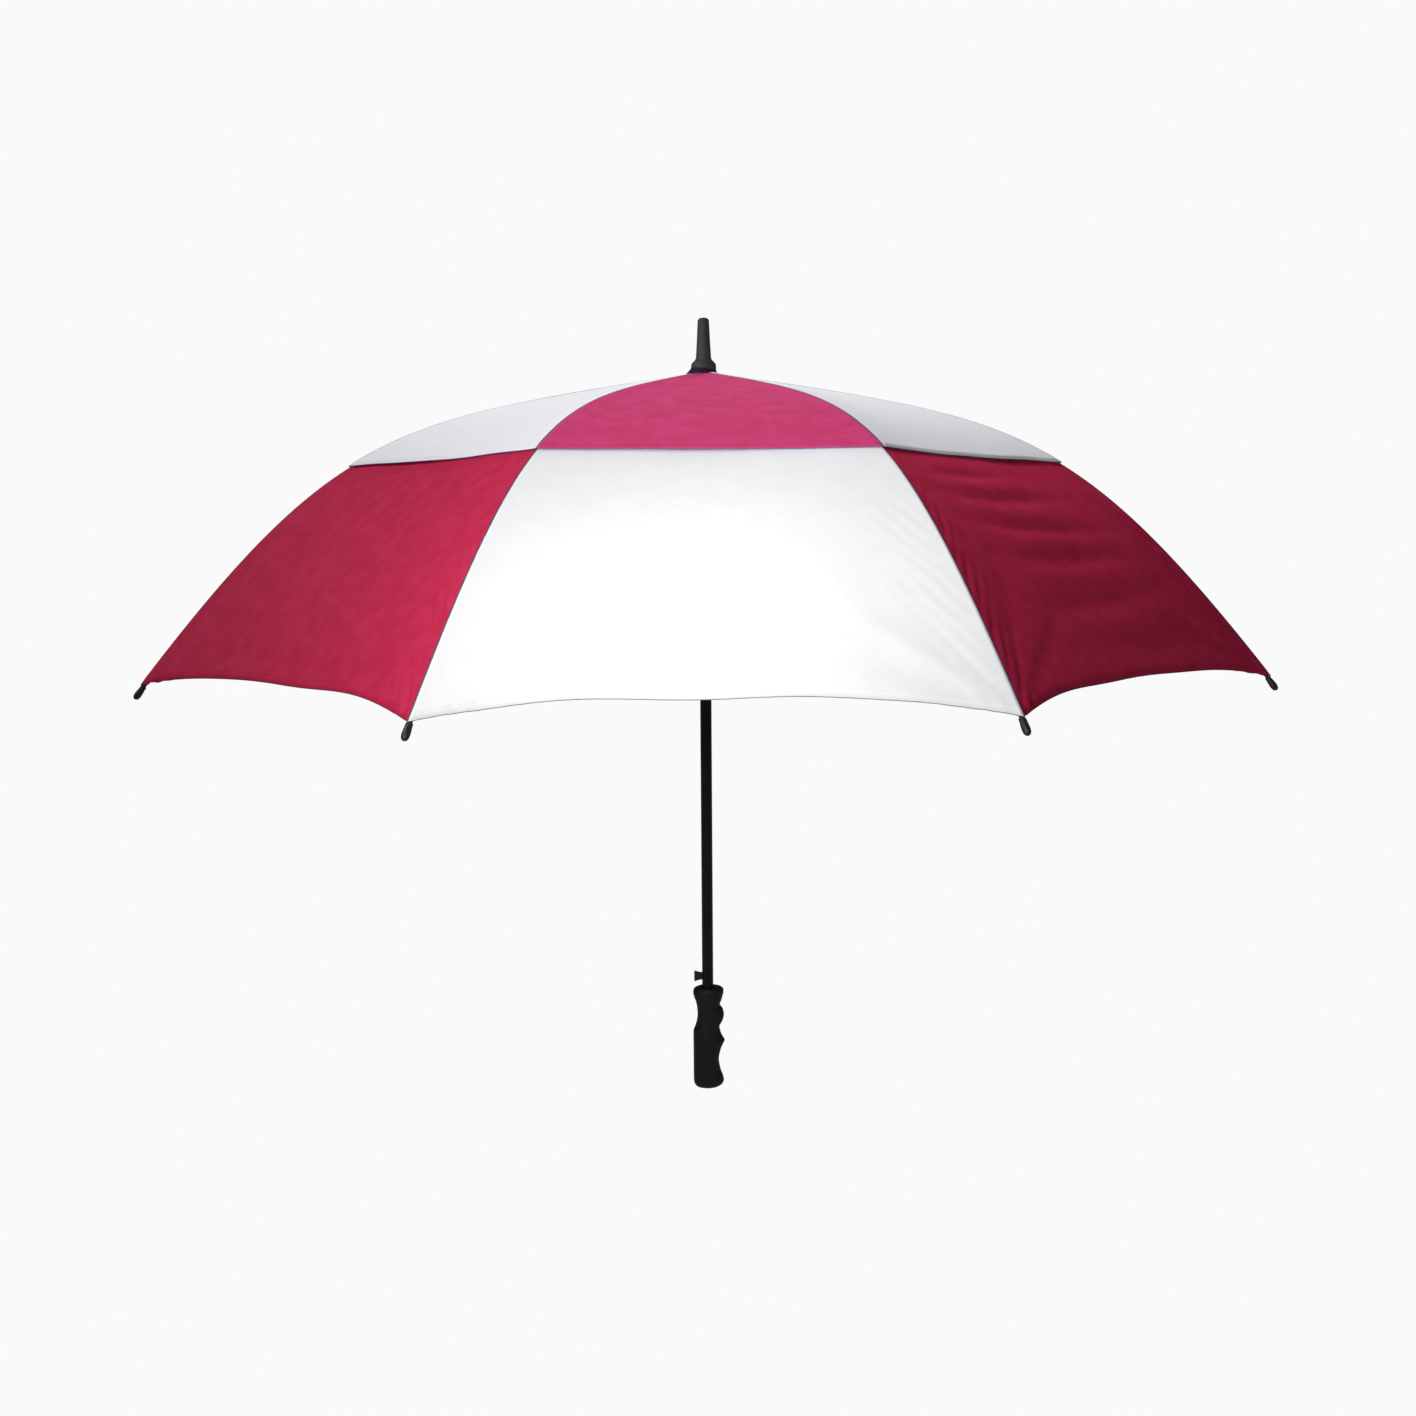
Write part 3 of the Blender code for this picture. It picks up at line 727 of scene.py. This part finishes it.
def add_gore(layer_name, index):
    """A gore's cloth, overlocked edge and hem stitches."""
    number = index + 1
    node = f"{layer_name}_gore_{number}"
    red = (index % 2 == 0) == (layer_name == "upper")
    place = radial_place(gore_azimuth(index))
    # The upper layer takes the lighter, pinker red, which is painted light.
    red_cloth = PAINTED_LIGHT_PINK_CLOTH if layer_name == "upper" else RED_CLOTH
    cloth = add_object(f"{layer_name}_cloth_{number}", gore_mesh(layer_name, number),
                       red_cloth if red else WHITE_CLOTH, place)
    solidify = cloth.modifiers.new("thickness", "SOLIDIFY")
    solidify.thickness = CLOTH
    solidify.offset = -1
    if layer_name == "upper":
        edge_thread = BLUE_THREAD
    else:
        # On white gores the grey bead is partly painted shade along the hem and seams.
        edge_thread = PLUM_THREAD if red else GREY_THREAD_AND_PAINTED_SHADE
    bead = add_object(f"{layer_name}_edge_{number}", edge_bead(layer_name, number), edge_thread, place)
    stitches = add_object(f"{layer_name}_stitches_{number}", stitch_row(layer_name, number),
                          RED_THREAD if red else WHITE_THREAD, place)
    for piece in (cloth, bead, stitches):
        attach(piece, node)
        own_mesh(piece)
    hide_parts(node)


# ---------------------------------------------------------------- ribs and stretchers


def rib_point(radius, drop=RIB_DROP):
    """The point under the ridge line in the plane of a rib that faces +X."""
    along, height = under_ridge(radius, drop)
    return Vector((along, 0, height))


def rib_line(start, end, count):
    return [rib_point(start + (end - start) * i / (count - 1)) for i in range(count)]


def add_rib(index):
    """One smooth rod along the ridge line, a little thinner past the stretcher joint, with its eye and its
    joint bracket.
    """
    number = index + 1
    place = radial_place(rib_azimuth(index))
    points = rib_line(0.022, TIP_RADIUS, 60)
    radii = []
    for point in points:
        share = min(max((point.x - JOINT_RADIUS) / 0.02, 0), 1)
        radii.append(ROD_RADIUS * (1 - 0.15 * share))
    rod = add_object(f"rib_rod_{number}", swept("rod", points, radii, 14), ROD_FINISH, place)
    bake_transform(rod)
    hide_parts(f"rib_inner_{number}", f"rib_outer_{number}")
    fitting = add_object(f"rib_fitting_{number}", rib_fitting(), STEEL, place)
    add_bevel(fitting, 0.0002)
    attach(fitting, f"rib_{number}")


def flat_bar(start, end, width, start_height, end_height):
    """A straight bar in the plane of a rib, whose height may change along it."""
    start, end = Vector(start), Vector(end)
    along = (end - start).normalized()
    up = Vector((-along.z, 0, along.x))
    sections = []
    for point, height in ((start, start_height), (end, end_height)):
        section = []
        for side, rise in ((-1, -1), (1, -1), (1, 1), (-1, 1)):
            section.append(point + Vector((0, side * width / 2, 0)) + up * rise * height / 2)
        sections.append(section)
    return lofted("bar", sections)


def pin(centre, radius, width, sides=20, dome=0.0):
    """A round pin along Y through this point, its ends domed where a height is given."""
    centre = Vector(centre)
    points, radii = [], []
    ends = [(0.0, 0.62), (0.4, 0.85), (1.0, 1.0)] if dome else [(0.0, 1.0)]
    for side, order in ((-1, ends), (1, ends[::-1])):
        for rise, share in order:
            points.append(centre + Vector((0, side * (width / 2 + dome * (1 - rise)), 0)))
            radii.append(radius * share)
    return swept("pin", points, radii, sides)


def rib_fitting():
    """Crimped eye at the notch and the bracket that carries the stretcher's rivet."""
    pivot = Vector((PIVOT_RADIUS, 0, NOTCH_Z))
    rod_start = rib_point(0.021)
    sleeve_end = rib_point(0.036)
    eye = pin(pivot, 0.0026, 0.0017)
    shank = flat_bar(pivot, rod_start, 0.0017, 0.0034, 0.0040)
    sleeve = swept("sleeve", [rod_start, rod_start.lerp(sleeve_end, 0.15), sleeve_end],
                   [0.0018, 0.0027, 0.0027], 18)
    meshes = [eye, shank, sleeve]
    joint = rib_point(JOINT_RADIUS, RIB_DROP + LUG_DROP)
    above = rib_point(JOINT_RADIUS)
    before = rib_point(JOINT_RADIUS - 0.009)
    after = rib_point(JOINT_RADIUS + 0.008)
    meshes.append(swept("clamp", [before, before.lerp(after, 0.08), before.lerp(after, 0.92), after],
                        [0.0026, 0.0030, 0.0030, 0.0026], 20))
    meshes.append(flat_bar(above, joint, 0.0018, 0.0090, 0.0060))
    meshes.append(pin(joint, 0.0031, 0.0018))
    return joined("fitting", meshes, 35)


def add_tip(index):
    """The moulded cap on the rib's end, whose eyelets take the thread that ties the cloth to it."""
    number = index + 1
    pitch = math.pi / 2 + HEM_SLOPE
    rib_end = under_ridge(TIP_RADIUS, RIB_DROP)
    place = radial_place(rib_azimuth(index), *rib_end, pitch)
    end = TIP_LENGTH
    outline = [(0, end)]
    dome = 0.0034
    for degrees in range(15, 91, 15):
        angle = math.radians(degrees)
        outline.append((dome * math.sin(angle), end - 1.25 * dome * (1 - math.cos(angle))))
    outline += [(0.0036, 0.0100), (0.0035, 0.0075), (0.0033, 0.0050), (0.0030, 0.0024), (0.0027, 0.0012)]
    outline += [(0.0027, -0.0006), (0.0024, -0.0010), (0.0021, -0.0010), (0.0021, 0.0060), (0, 0.0060)]
    cap = turned("cap", outline, 32, 30)
    eyelets = []
    for side in (-1, 1):
        ring = [(x - 0.0008, side * 0.00305, y + 0.0052) for x, y, _ in circle(0.0007, 16)]
        eyelets.append(swept("eyelet", ring, 0.00022, 8, closed=True))
    piece = add_object(f"tip_cap_{number}", joined("cap", [cap, *eyelets], 30), PLASTIC, place)
    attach(piece, f"rib_end_{number}")
    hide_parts(f"rib_tip_{number}")
    loops = []
    for turn in range(4):
        height = 0.0001 + 0.00040 * turn
        ring = []
        for i in range(24):
            angle = math.tau * i / 24
            radius = 0.00282 + 0.00008 * math.sin(3 * angle + turn)
            tilt = 0.0002 * math.sin(angle)
            ring.append((radius * math.cos(angle), radius * math.sin(angle), height + tilt))
        loops.append(swept("loop", ring, 0.00020, 6, closed=True))
    for side in (-1, 1):
        tie = []
        for i in range(9):
            t = i / 8
            bow = 0.0005 * math.sin(t * math.pi)
            tie.append((-0.0012 - 0.0010 * t - bow, side * (0.0028 - 0.0012 * t), 0.0048 - 0.0042 * t))
        loops.append(swept("tie", tie, 0.00022, 6))
    thread = add_object(f"tip_thread_{number}", joined("thread", loops), PLUM_THREAD, place)
    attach(thread, f"rib_end_{number}")


def channel(length_start, length_end, width, height, wall):
    """A U channel along X, open upwards, with rounded lower edges."""
    profile = []
    corner = 0.0011
    for side in (-1, 1):
        arc = []
        for step in range(5):
            angle = math.radians(90 * step / 4)
            arc.append((side * (width / 2 - corner + corner * math.sin(angle)),
                        -height / 2 + corner - corner * math.cos(angle)))
        profile.append(arc)
    left, right = profile
    inner = width / 2 - wall
    outline = [(-width / 2, height / 2)] + left[::-1] + right + [(width / 2, height / 2)]
    floor, top = -height / 2 + wall, height / 2
    outline += [(inner, top), (inner, floor), (-inner, floor), (-inner, top)]
    sections = [[(x, y, z) for y, z in outline] for x in (length_start, length_end)]
    return lofted("channel", sections, 30)


def add_stretcher(index):
    """Pressed steel channel with riveted ends and an eye at the runner."""
    number = index + 1
    joint = under_ridge(JOINT_RADIUS, RIB_DROP + LUG_DROP)
    link = math.hypot(joint[0] - PIVOT_RADIUS, NOTCH_Z - joint[1])
    link_slope = math.atan2(NOTCH_Z - joint[1], joint[0] - PIVOT_RADIUS)
    place = radial_place(rib_azimuth(index), joint[0], joint[1], -link_slope)
    width, height, wall = 0.0048, 0.0046, 0.0008
    meshes = [channel(-link + 0.010, -0.0075, width, height, wall)]
    for side in (-1, 1):
        cheek = flat_bar((-0.0090, 0, 0), (0.0042, 0, 0), wall, height, height * 0.85)
        cheek.transform(Matrix.Translation((0, side * (width - wall) / 2, 0)))
        meshes.append(cheek)
    meshes.append(pin((0, 0, 0), 0.0016, width + 0.0004, dome=0.0006))
    meshes.append(flat_bar((-link, 0, 0), (-link + 0.016, 0, 0), 0.0017, 0.0036, 0.0040))
    meshes.append(pin((-link, 0, 0), 0.0026, 0.0017))
    for distance in (0.0120, 0.0150):
        meshes.append(pin((-link + distance, 0, 0), 0.0009, width + 0.0002, dome=0.0003))
    piece = add_object(f"stretcher_channel_{number}", joined("stretcher", meshes, 35), STEEL, place)
    add_bevel(piece, 0.00015)
    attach(piece, f"stretcher_{number}")
    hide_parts(f"stretcher_{number}")


# ---------------------------------------------------------------- shaft, ferrule and runner


def add_ferrule():
    """Moulded spike with a rounded nose, a flared collar and a fine step where the collar starts."""
    low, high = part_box("ferrule")
    nose = 0.0040
    outline = [(0, high.z)]
    for degrees in range(8, 91, 9):
        angle = math.radians(degrees)
        outline.append((0.0029 + nose * math.sin(angle), high.z - nose + nose * math.cos(angle)))
    body = [(0.0078, 0.930), (0.0091, 0.9086), (0.0093, 0.9068), (0.0100, 0.9050), (0.0143, 0.9006)]
    body += [(0.0150, 0.8984), (0.0152, low.z + 0.0006), (0.0149, low.z), (0.0076, low.z + 0.0012)]
    bore_end = (0.0076, 0.930)
    corners = rounded([outline[-1], *body, bore_end], 0.0008, 3)[4:-4]
    mesh = turned("ferrule", outline + corners + [bore_end, (0, 0.930)], 72, 30)
    piece = add_object("ferrule_spike", mesh, FERRULE_PLASTIC)
    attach(piece, "shaft")
    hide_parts("ferrule")


ROSETTE_INSET = 0.0022
COLLAR_RADIUS = 0.0155


def add_canopy_washer():
    """The cloth rosette between the canopy and the collar, gathered higher on the button's side."""
    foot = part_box("ferrule")[0].z
    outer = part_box("canopy_washer")[1].x - ROSETTE_INSET
    sides = 96
    sections = []
    stations = (
        # radius as a share of the outer one, height as a share of the gather, clearance of the cloth
        (0.34, 0.0, 0.0005),
        (0.80, 0.0, 0.0005),
        (1.00, 0.0, 0.0003),
        (1.01, 0.0, 0.0007),
        (0.97, 0.05, 0.0010),
        (0.88, 0.30, 0.0010),
        (0.78, 0.65, 0.0010),
        (0.70, 0.95, 0.0010),
        (0.66, 1.0, 0.0008),
        (0.645, 0.93, 0.0004),
        (0.635, 0.30, 0.0004),
        (0.60, 0.0, 0.0011),
        (0.34, 0.0, 0.0014),
    )
    for share, gather, above in stations:
        ring = []
        for i in range(sides):
            angle = math.tau * i / sides
            towards_button = 0.5 - 0.5 * math.cos(angle)
            pucker = 1 + 0.05 * gather * math.sin(17 * angle + 2 * math.sin(3 * angle))
            reach = outer * (0.76 + 0.12 * towards_button)
            radius = max(reach * share, COLLAR_RADIUS) if gather else reach * share
            top = foot + 0.0006 + 0.0036 * towards_button * pucker
            cloth = ridge_height(radius) + LAYER_STEP + above
            height = cloth + gather * max(top - cloth, 0)
            ring.append((radius * math.cos(angle), radius * math.sin(angle), height))
        sections.append(ring)
    piece = add_object("canopy_rosette", lofted("rosette", sections, 60, looped=True), PLUM_CLOTH)
    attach(piece, "shaft")
    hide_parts("canopy_washer")


def ring_wire(name, node, body):
    """The closed wire ring that strings the eyes together."""
    points = circle(PIVOT_RADIUS, 72, middle_height(node))
    piece = add_object(name, swept(name, points, RING_WIRE, 10, closed=True), WIRE_STEEL)
    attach(piece, body)
    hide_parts(node)


def add_main_spring():
    """Opening spring: a round-wire helix whose end turns lie closed."""
    low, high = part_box("main_spring")
    wire = 0.0007
    radius = high.x - wire
    turns, turn_points = 9, 40
    count = turns * turn_points
    bottom, top = low.z + wire, high.z - wire
    points = []
    for i in range(count + 1):
        angle = math.tau * i / turn_points
        share = min(max((i - turn_points) / (count - 2 * turn_points), 0), 1)
        rise = min(i, turn_points) + min(max(i - count + turn_points, 0), turn_points)
        height = bottom + rise / turn_points * wire * 2.4 + share * (top - bottom - wire * 4.8)
        points.append((radius * math.cos(angle), radius * math.sin(angle), height))
    piece = add_object("opening_spring", swept("spring", points, wire, 10), WIRE_STEEL)
    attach(piece, "runner")
    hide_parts("main_spring")


def finish_fixed_parts():
    """Materials and small edge bevels for the solids that are shown as they are."""
    finishes = {
        "shaft_tube": (SHAFT_PAINT, 0.0002),
        "top_notch": (PLASTIC, 0.0003),
        "runner": (PLASTIC, 0.0003),
        "spring_cap": (PLASTIC, 0.0004),
        "button_spring": (WIRE_STEEL, 0.0),
    }
    for node, (material, bevel) in finishes.items():
        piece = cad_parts[node]
        piece.data.materials.clear()
        piece.data.materials.append(material)
        if bevel:
            add_bevel(piece, bevel)


# ---------------------------------------------------------------- grip and button

GRIP_STATIONS = (
    # height, reach behind the shaft's axis, reach in front of it, half thickness
    (0.0000, 0.0120, 0.0096, 0.0090),
    (0.0008, 0.0145, 0.0128, 0.0105),
    (0.0025, 0.0164, 0.0162, 0.0120),
    (0.0050, 0.0177, 0.0189, 0.0130),
    (0.0080, 0.0182, 0.0198, 0.0136),
    (0.0130, 0.0184, 0.0190, 0.0139),
    (0.0220, 0.0184, 0.0158, 0.0140),
    (0.0355, 0.0184, 0.0135, 0.0140),
    (0.0470, 0.0184, 0.0156, 0.0140),
    (0.0565, 0.0184, 0.0192, 0.0139),
    (0.0605, 0.0184, 0.0211, 0.0138),
    (0.0645, 0.0184, 0.0188, 0.0137),
    (0.0700, 0.0184, 0.0163, 0.0136),
    (0.0745, 0.0180, 0.0150, 0.0134),
    (0.0775, 0.0168, 0.0146, 0.0133),
    (0.0800, 0.0158, 0.0147, 0.0132),
    (0.0818, 0.0152, 0.0160, 0.0131),
    (0.0870, 0.0139, 0.0188, 0.0130),
    (0.0945, 0.0130, 0.0202, 0.0130),
    (0.1010, 0.0133, 0.0188, 0.0131),
    (0.1050, 0.0138, 0.0160, 0.0132),
    (0.1065, 0.0141, 0.0151, 0.0133),
    (0.1110, 0.0150, 0.0164, 0.0135),
    (0.1170, 0.0172, 0.0184, 0.0138),
    (0.1225, 0.0184, 0.0197, 0.0139),
    (0.1262, 0.0180, 0.0198, 0.0134),
    (0.1285, 0.0162, 0.0186, 0.0122),
    (0.1298, 0.0132, 0.0160, 0.0106),
)


def between(stations, height):
    """The stations' values at this height, on a smooth curve through them that doesn't overshoot."""
    heights = [station[0] for station in stations]
    place = min(max(np.searchsorted(heights, height) - 1, 0), len(stations) - 2)
    low, high = stations[place], stations[place + 1]
    share = (height - low[0]) / (high[0] - low[0])
    values = []
    for column in range(1, len(low)):
        slopes = []
        for i in (place, place + 1):
            before, after = stations[max(i - 1, 0)], stations[min(i + 1, len(stations) - 1)]
            here = stations[i]
            rise_in = (here[column] - before[column]) / max(here[0] - before[0], 1e-9)
            rise_out = (after[column] - here[column]) / max(after[0] - here[0], 1e-9)
            if rise_in * rise_out <= 0:
                slopes.append(0.0)
            else:
                slopes.append(2 * rise_in * rise_out / (rise_in + rise_out))
        span = high[0] - low[0]
        h00 = 2 * share**3 - 3 * share**2 + 1
        h10 = share**3 - 2 * share**2 + share
        h01 = 3 * share**2 - 2 * share**3
        h11 = share**3 - share**2
        curve = h00 * low[column] + h10 * span * slopes[0]
        values.append(curve + h01 * high[column] + h11 * span * slopes[1])
    return values


def grip_ring(height, behind, ahead, half_depth, sides):
    """A section of the grip: fuller than an oval, with a fine parting line front and back."""
    ring = []
    for i in range(sides):
        angle = math.tau * i / sides
        cosine, sine = math.cos(angle), math.sin(angle)
        reach = ahead if cosine > 0 else behind
        x = reach * math.copysign(abs(cosine) ** 0.86, cosine)
        y = half_depth * math.copysign(abs(sine) ** 0.90, sine)
        if i in (0, sides // 2):
            x += math.copysign(0.00012, x)
        ring.append((x, y, height))
    return ring


def add_grip():
    """Moulded grip with finger grooves, open at the top for the shaft."""
    sides, levels = 72, 150
    low, high = GRIP_STATIONS[0][0], GRIP_STATIONS[-1][0]
    sections = []
    for i in range(levels + 1):
        share = i / levels
        height = low + (high - low) * (0.5 - 0.5 * math.cos(math.pi * share))
        sections.append(grip_ring(height, *between(GRIP_STATIONS, height), sides))
    mouth = SHAFT_RADIUS + 0.0003
    for radius, height in ((mouth + 0.0012, high), (mouth, high - 0.0008), (mouth, high - 0.030)):
        sections.append(circle(radius, sides, height))
    piece = add_object("grip_moulding", lofted("grip", sections, 40), GRIP_PLASTIC)
    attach(piece, "shaft")
    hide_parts("grip")


def add_button():
    """Release button: a neck that flares to a domed face with thumb ridges."""
    low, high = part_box("release_button")
    centre, half_height = (low.z + high.z) / 2, (high.z - low.z) / 2
    reach = -low.x
    sections = []
    stations = (
        # distance from the axis, half width, half height
        (0.0030, 0.0018, 0.0048),
        (0.0090, 0.0018, 0.0048),
        (0.0110, 0.0020, 0.0051),
        (0.0130, 0.0023, 0.0057),
        (0.0148, 0.0026, half_height - 0.0004),
        (0.0160, 0.0026, half_height),
        (0.0166, 0.0023, half_height - 0.0004),
        (reach - 0.0001, 0.0015, half_height - 0.0014),
    )
    sides = 28
    for distance, half_width, half_side in stations:
        ring = []
        for i in range(sides):
            angle = math.tau * (i + 0.5) / sides
            y = half_width * math.copysign(abs(math.cos(angle)) ** 0.5, math.cos(angle))
            z = half_side * math.copysign(abs(math.sin(angle)) ** 0.45, math.sin(angle))
            ring.append((-distance, y, centre + z))
        sections.append(ring)
    meshes = [lofted("button", sections, 50)]
    for i in range(4):
        height = centre + (i - 1.5) * 0.0022
        ridge = [(-reach + 0.0002, -0.0013, height), (-reach + 0.0002, 0.0013, height)]
        meshes.append(swept("ridge", ridge, 0.0003, 10))
    piece = add_object("thumb_button", joined("button", meshes, 50), PLASTIC)
    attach(piece, "button")
    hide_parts("release_button")


# ---------------------------------------------------------------- camera, light and floor

CAMERA_AZIMUTH = math.radians(-0.84)
CAMERA_DISTANCE = 1.678
CAMERA_HEIGHT = 0.6666
CAMERA_PITCH = math.radians(-6.212)
CAMERA_ROLL = math.radians(0.383)
CAMERA_LENS = 34.73
CAMERA_SHIFT = 0.0015
FLOOR_HEIGHT = -1.0
FLOOR_BOUNCE = 0.28
SKY_GLOW = 0.05


def add_camera():
    """The photograph's view: from the front, a little above the hem, looking slightly down."""
    data = bpy.data.cameras.new("camera")
    data.sensor_width = 36
    data.lens = CAMERA_LENS
    data.shift_x = CAMERA_SHIFT
    camera = add_object("camera", data)
    place = Vector((
        CAMERA_DISTANCE * math.sin(CAMERA_AZIMUTH),
        -CAMERA_DISTANCE * math.cos(CAMERA_AZIMUTH),
        CAMERA_HEIGHT,
    ))
    turn = Matrix.Rotation(CAMERA_AZIMUTH, 4, "Z") @ Matrix.Rotation(math.pi / 2 + CAMERA_PITCH, 4, "X")
    camera.matrix_world = Matrix.Translation(place) @ turn @ Matrix.Rotation(-CAMERA_ROLL, 4, "Z")
    bpy.context.scene.camera = camera


def add_light(name, place, target, size, power, spread=180, colour=(1, 1, 1)):
    """A round soft light, which the camera doesn't see. Spread narrows its beam, as a grid does."""
    data = bpy.data.lights.new(name, "AREA")
    data.shape = "DISK"
    data.size = size
    data.energy = power
    data.spread = math.radians(spread)
    data.color = colour
    light = add_object(name, data)
    heading = Vector(target) - Vector(place)
    light.matrix_world = Matrix.Translation(place) @ heading.to_track_quat("-Z", "Y").to_matrix().to_4x4()
    light.visible_camera = False
    return light


def studio_outline():
    """(radius, height) points of a wide floor that curves up into a wall and a dome."""
    wall, cove, dome_top = 4.6, 1.4, 6.0
    outline = [(0, FLOOR_HEIGHT)]
    for degrees in range(0, 91, 6):
        angle = math.radians(degrees)
        outline.append((wall - cove + cove * math.sin(angle), FLOOR_HEIGHT + cove - cove * math.cos(angle)))
    for degrees in range(0, 91, 6):
        angle = math.radians(degrees)
        outline.append((wall * math.cos(angle), 2.0 + (dome_top - 2.0) * math.sin(angle)))
    outline[-1] = (0, dome_top)
    return outline


def add_studio():
    """Pale paper all round, and the soft lights. The paper glows evenly and casts no light itself."""
    material = bpy.data.materials.new("studio_paper")
    material.use_nodes = True
    nodes, links = material.node_tree.nodes, material.node_tree.links
    nodes.remove(nodes["Principled BSDF"])
    glow = nodes.new("ShaderNodeEmission")
    glow.inputs["Color"].default_value = (0.955, 0.955, 0.96, 1)
    links.new(glow.outputs["Emission"], nodes["Material Output"].inputs["Surface"])
    studio = add_object("studio", turned("studio", studio_outline(), 96), material)
    studio.visible_diffuse = False
    studio.visible_glossy = False
    studio.visible_transmission = False
    studio.visible_shadow = False
    world = bpy.data.worlds.new("sky")
    bpy.context.scene.world = world
    world.use_nodes = True
    nodes, links = world.node_tree.nodes, world.node_tree.links
    sky = nodes["Background"]
    sky.inputs["Color"].default_value = (0.95, 0.95, 1.0, 1)
    direction = nodes.new("ShaderNodeTexCoord")
    split = nodes.new("ShaderNodeSeparateXYZ")
    links.new(direction.outputs["Generated"], split.inputs["Vector"])
    fade = nodes.new("ShaderNodeMapRange")
    fade.interpolation_type = "SMOOTHSTEP"
    fade.inputs["From Min"].default_value = -0.30
    fade.inputs["From Max"].default_value = 0.10
    fade.inputs["To Min"].default_value = FLOOR_BOUNCE
    fade.inputs["To Max"].default_value = SKY_GLOW
    links.new(split.outputs["Z"], fade.inputs["Value"])
    links.new(fade.outputs["Result"], sky.inputs["Strength"])
    add_light("key", (-0.36, -1.48, 0.84), (0.02, -0.5, 0.665), 0.24, 1.36, spread=60)
    add_light("left_panel", (-1.98, -0.72, 2.93), (0, 0, 0.8), 1.4, 40, colour=(0.97, 0.97, 1.0))
    back = add_light("back_panel", (0.60, 2.10, 2.85), (0, 0, 0.8), 1.4, 104, colour=(0.97, 0.97, 1.0))
    back.visible_glossy = False
    bpy.context.scene.view_settings.view_transform = "Standard"


def main():
    add_camera()
    add_studio()
    finish_fixed_parts()
    for index in range(RIB_COUNT):
        add_rib(index)
        add_tip(index)
        add_stretcher(index)
    for index in range(RIB_COUNT):
        add_gore("upper", index)
        add_gore("lower", index)
    add_ferrule()
    add_canopy_washer()
    ring_wire("notch_ring", "notch_wire", "shaft")
    ring_wire("runner_ring", "runner_wire", "runner")
    add_main_spring()
    add_grip()
    add_button()


main()
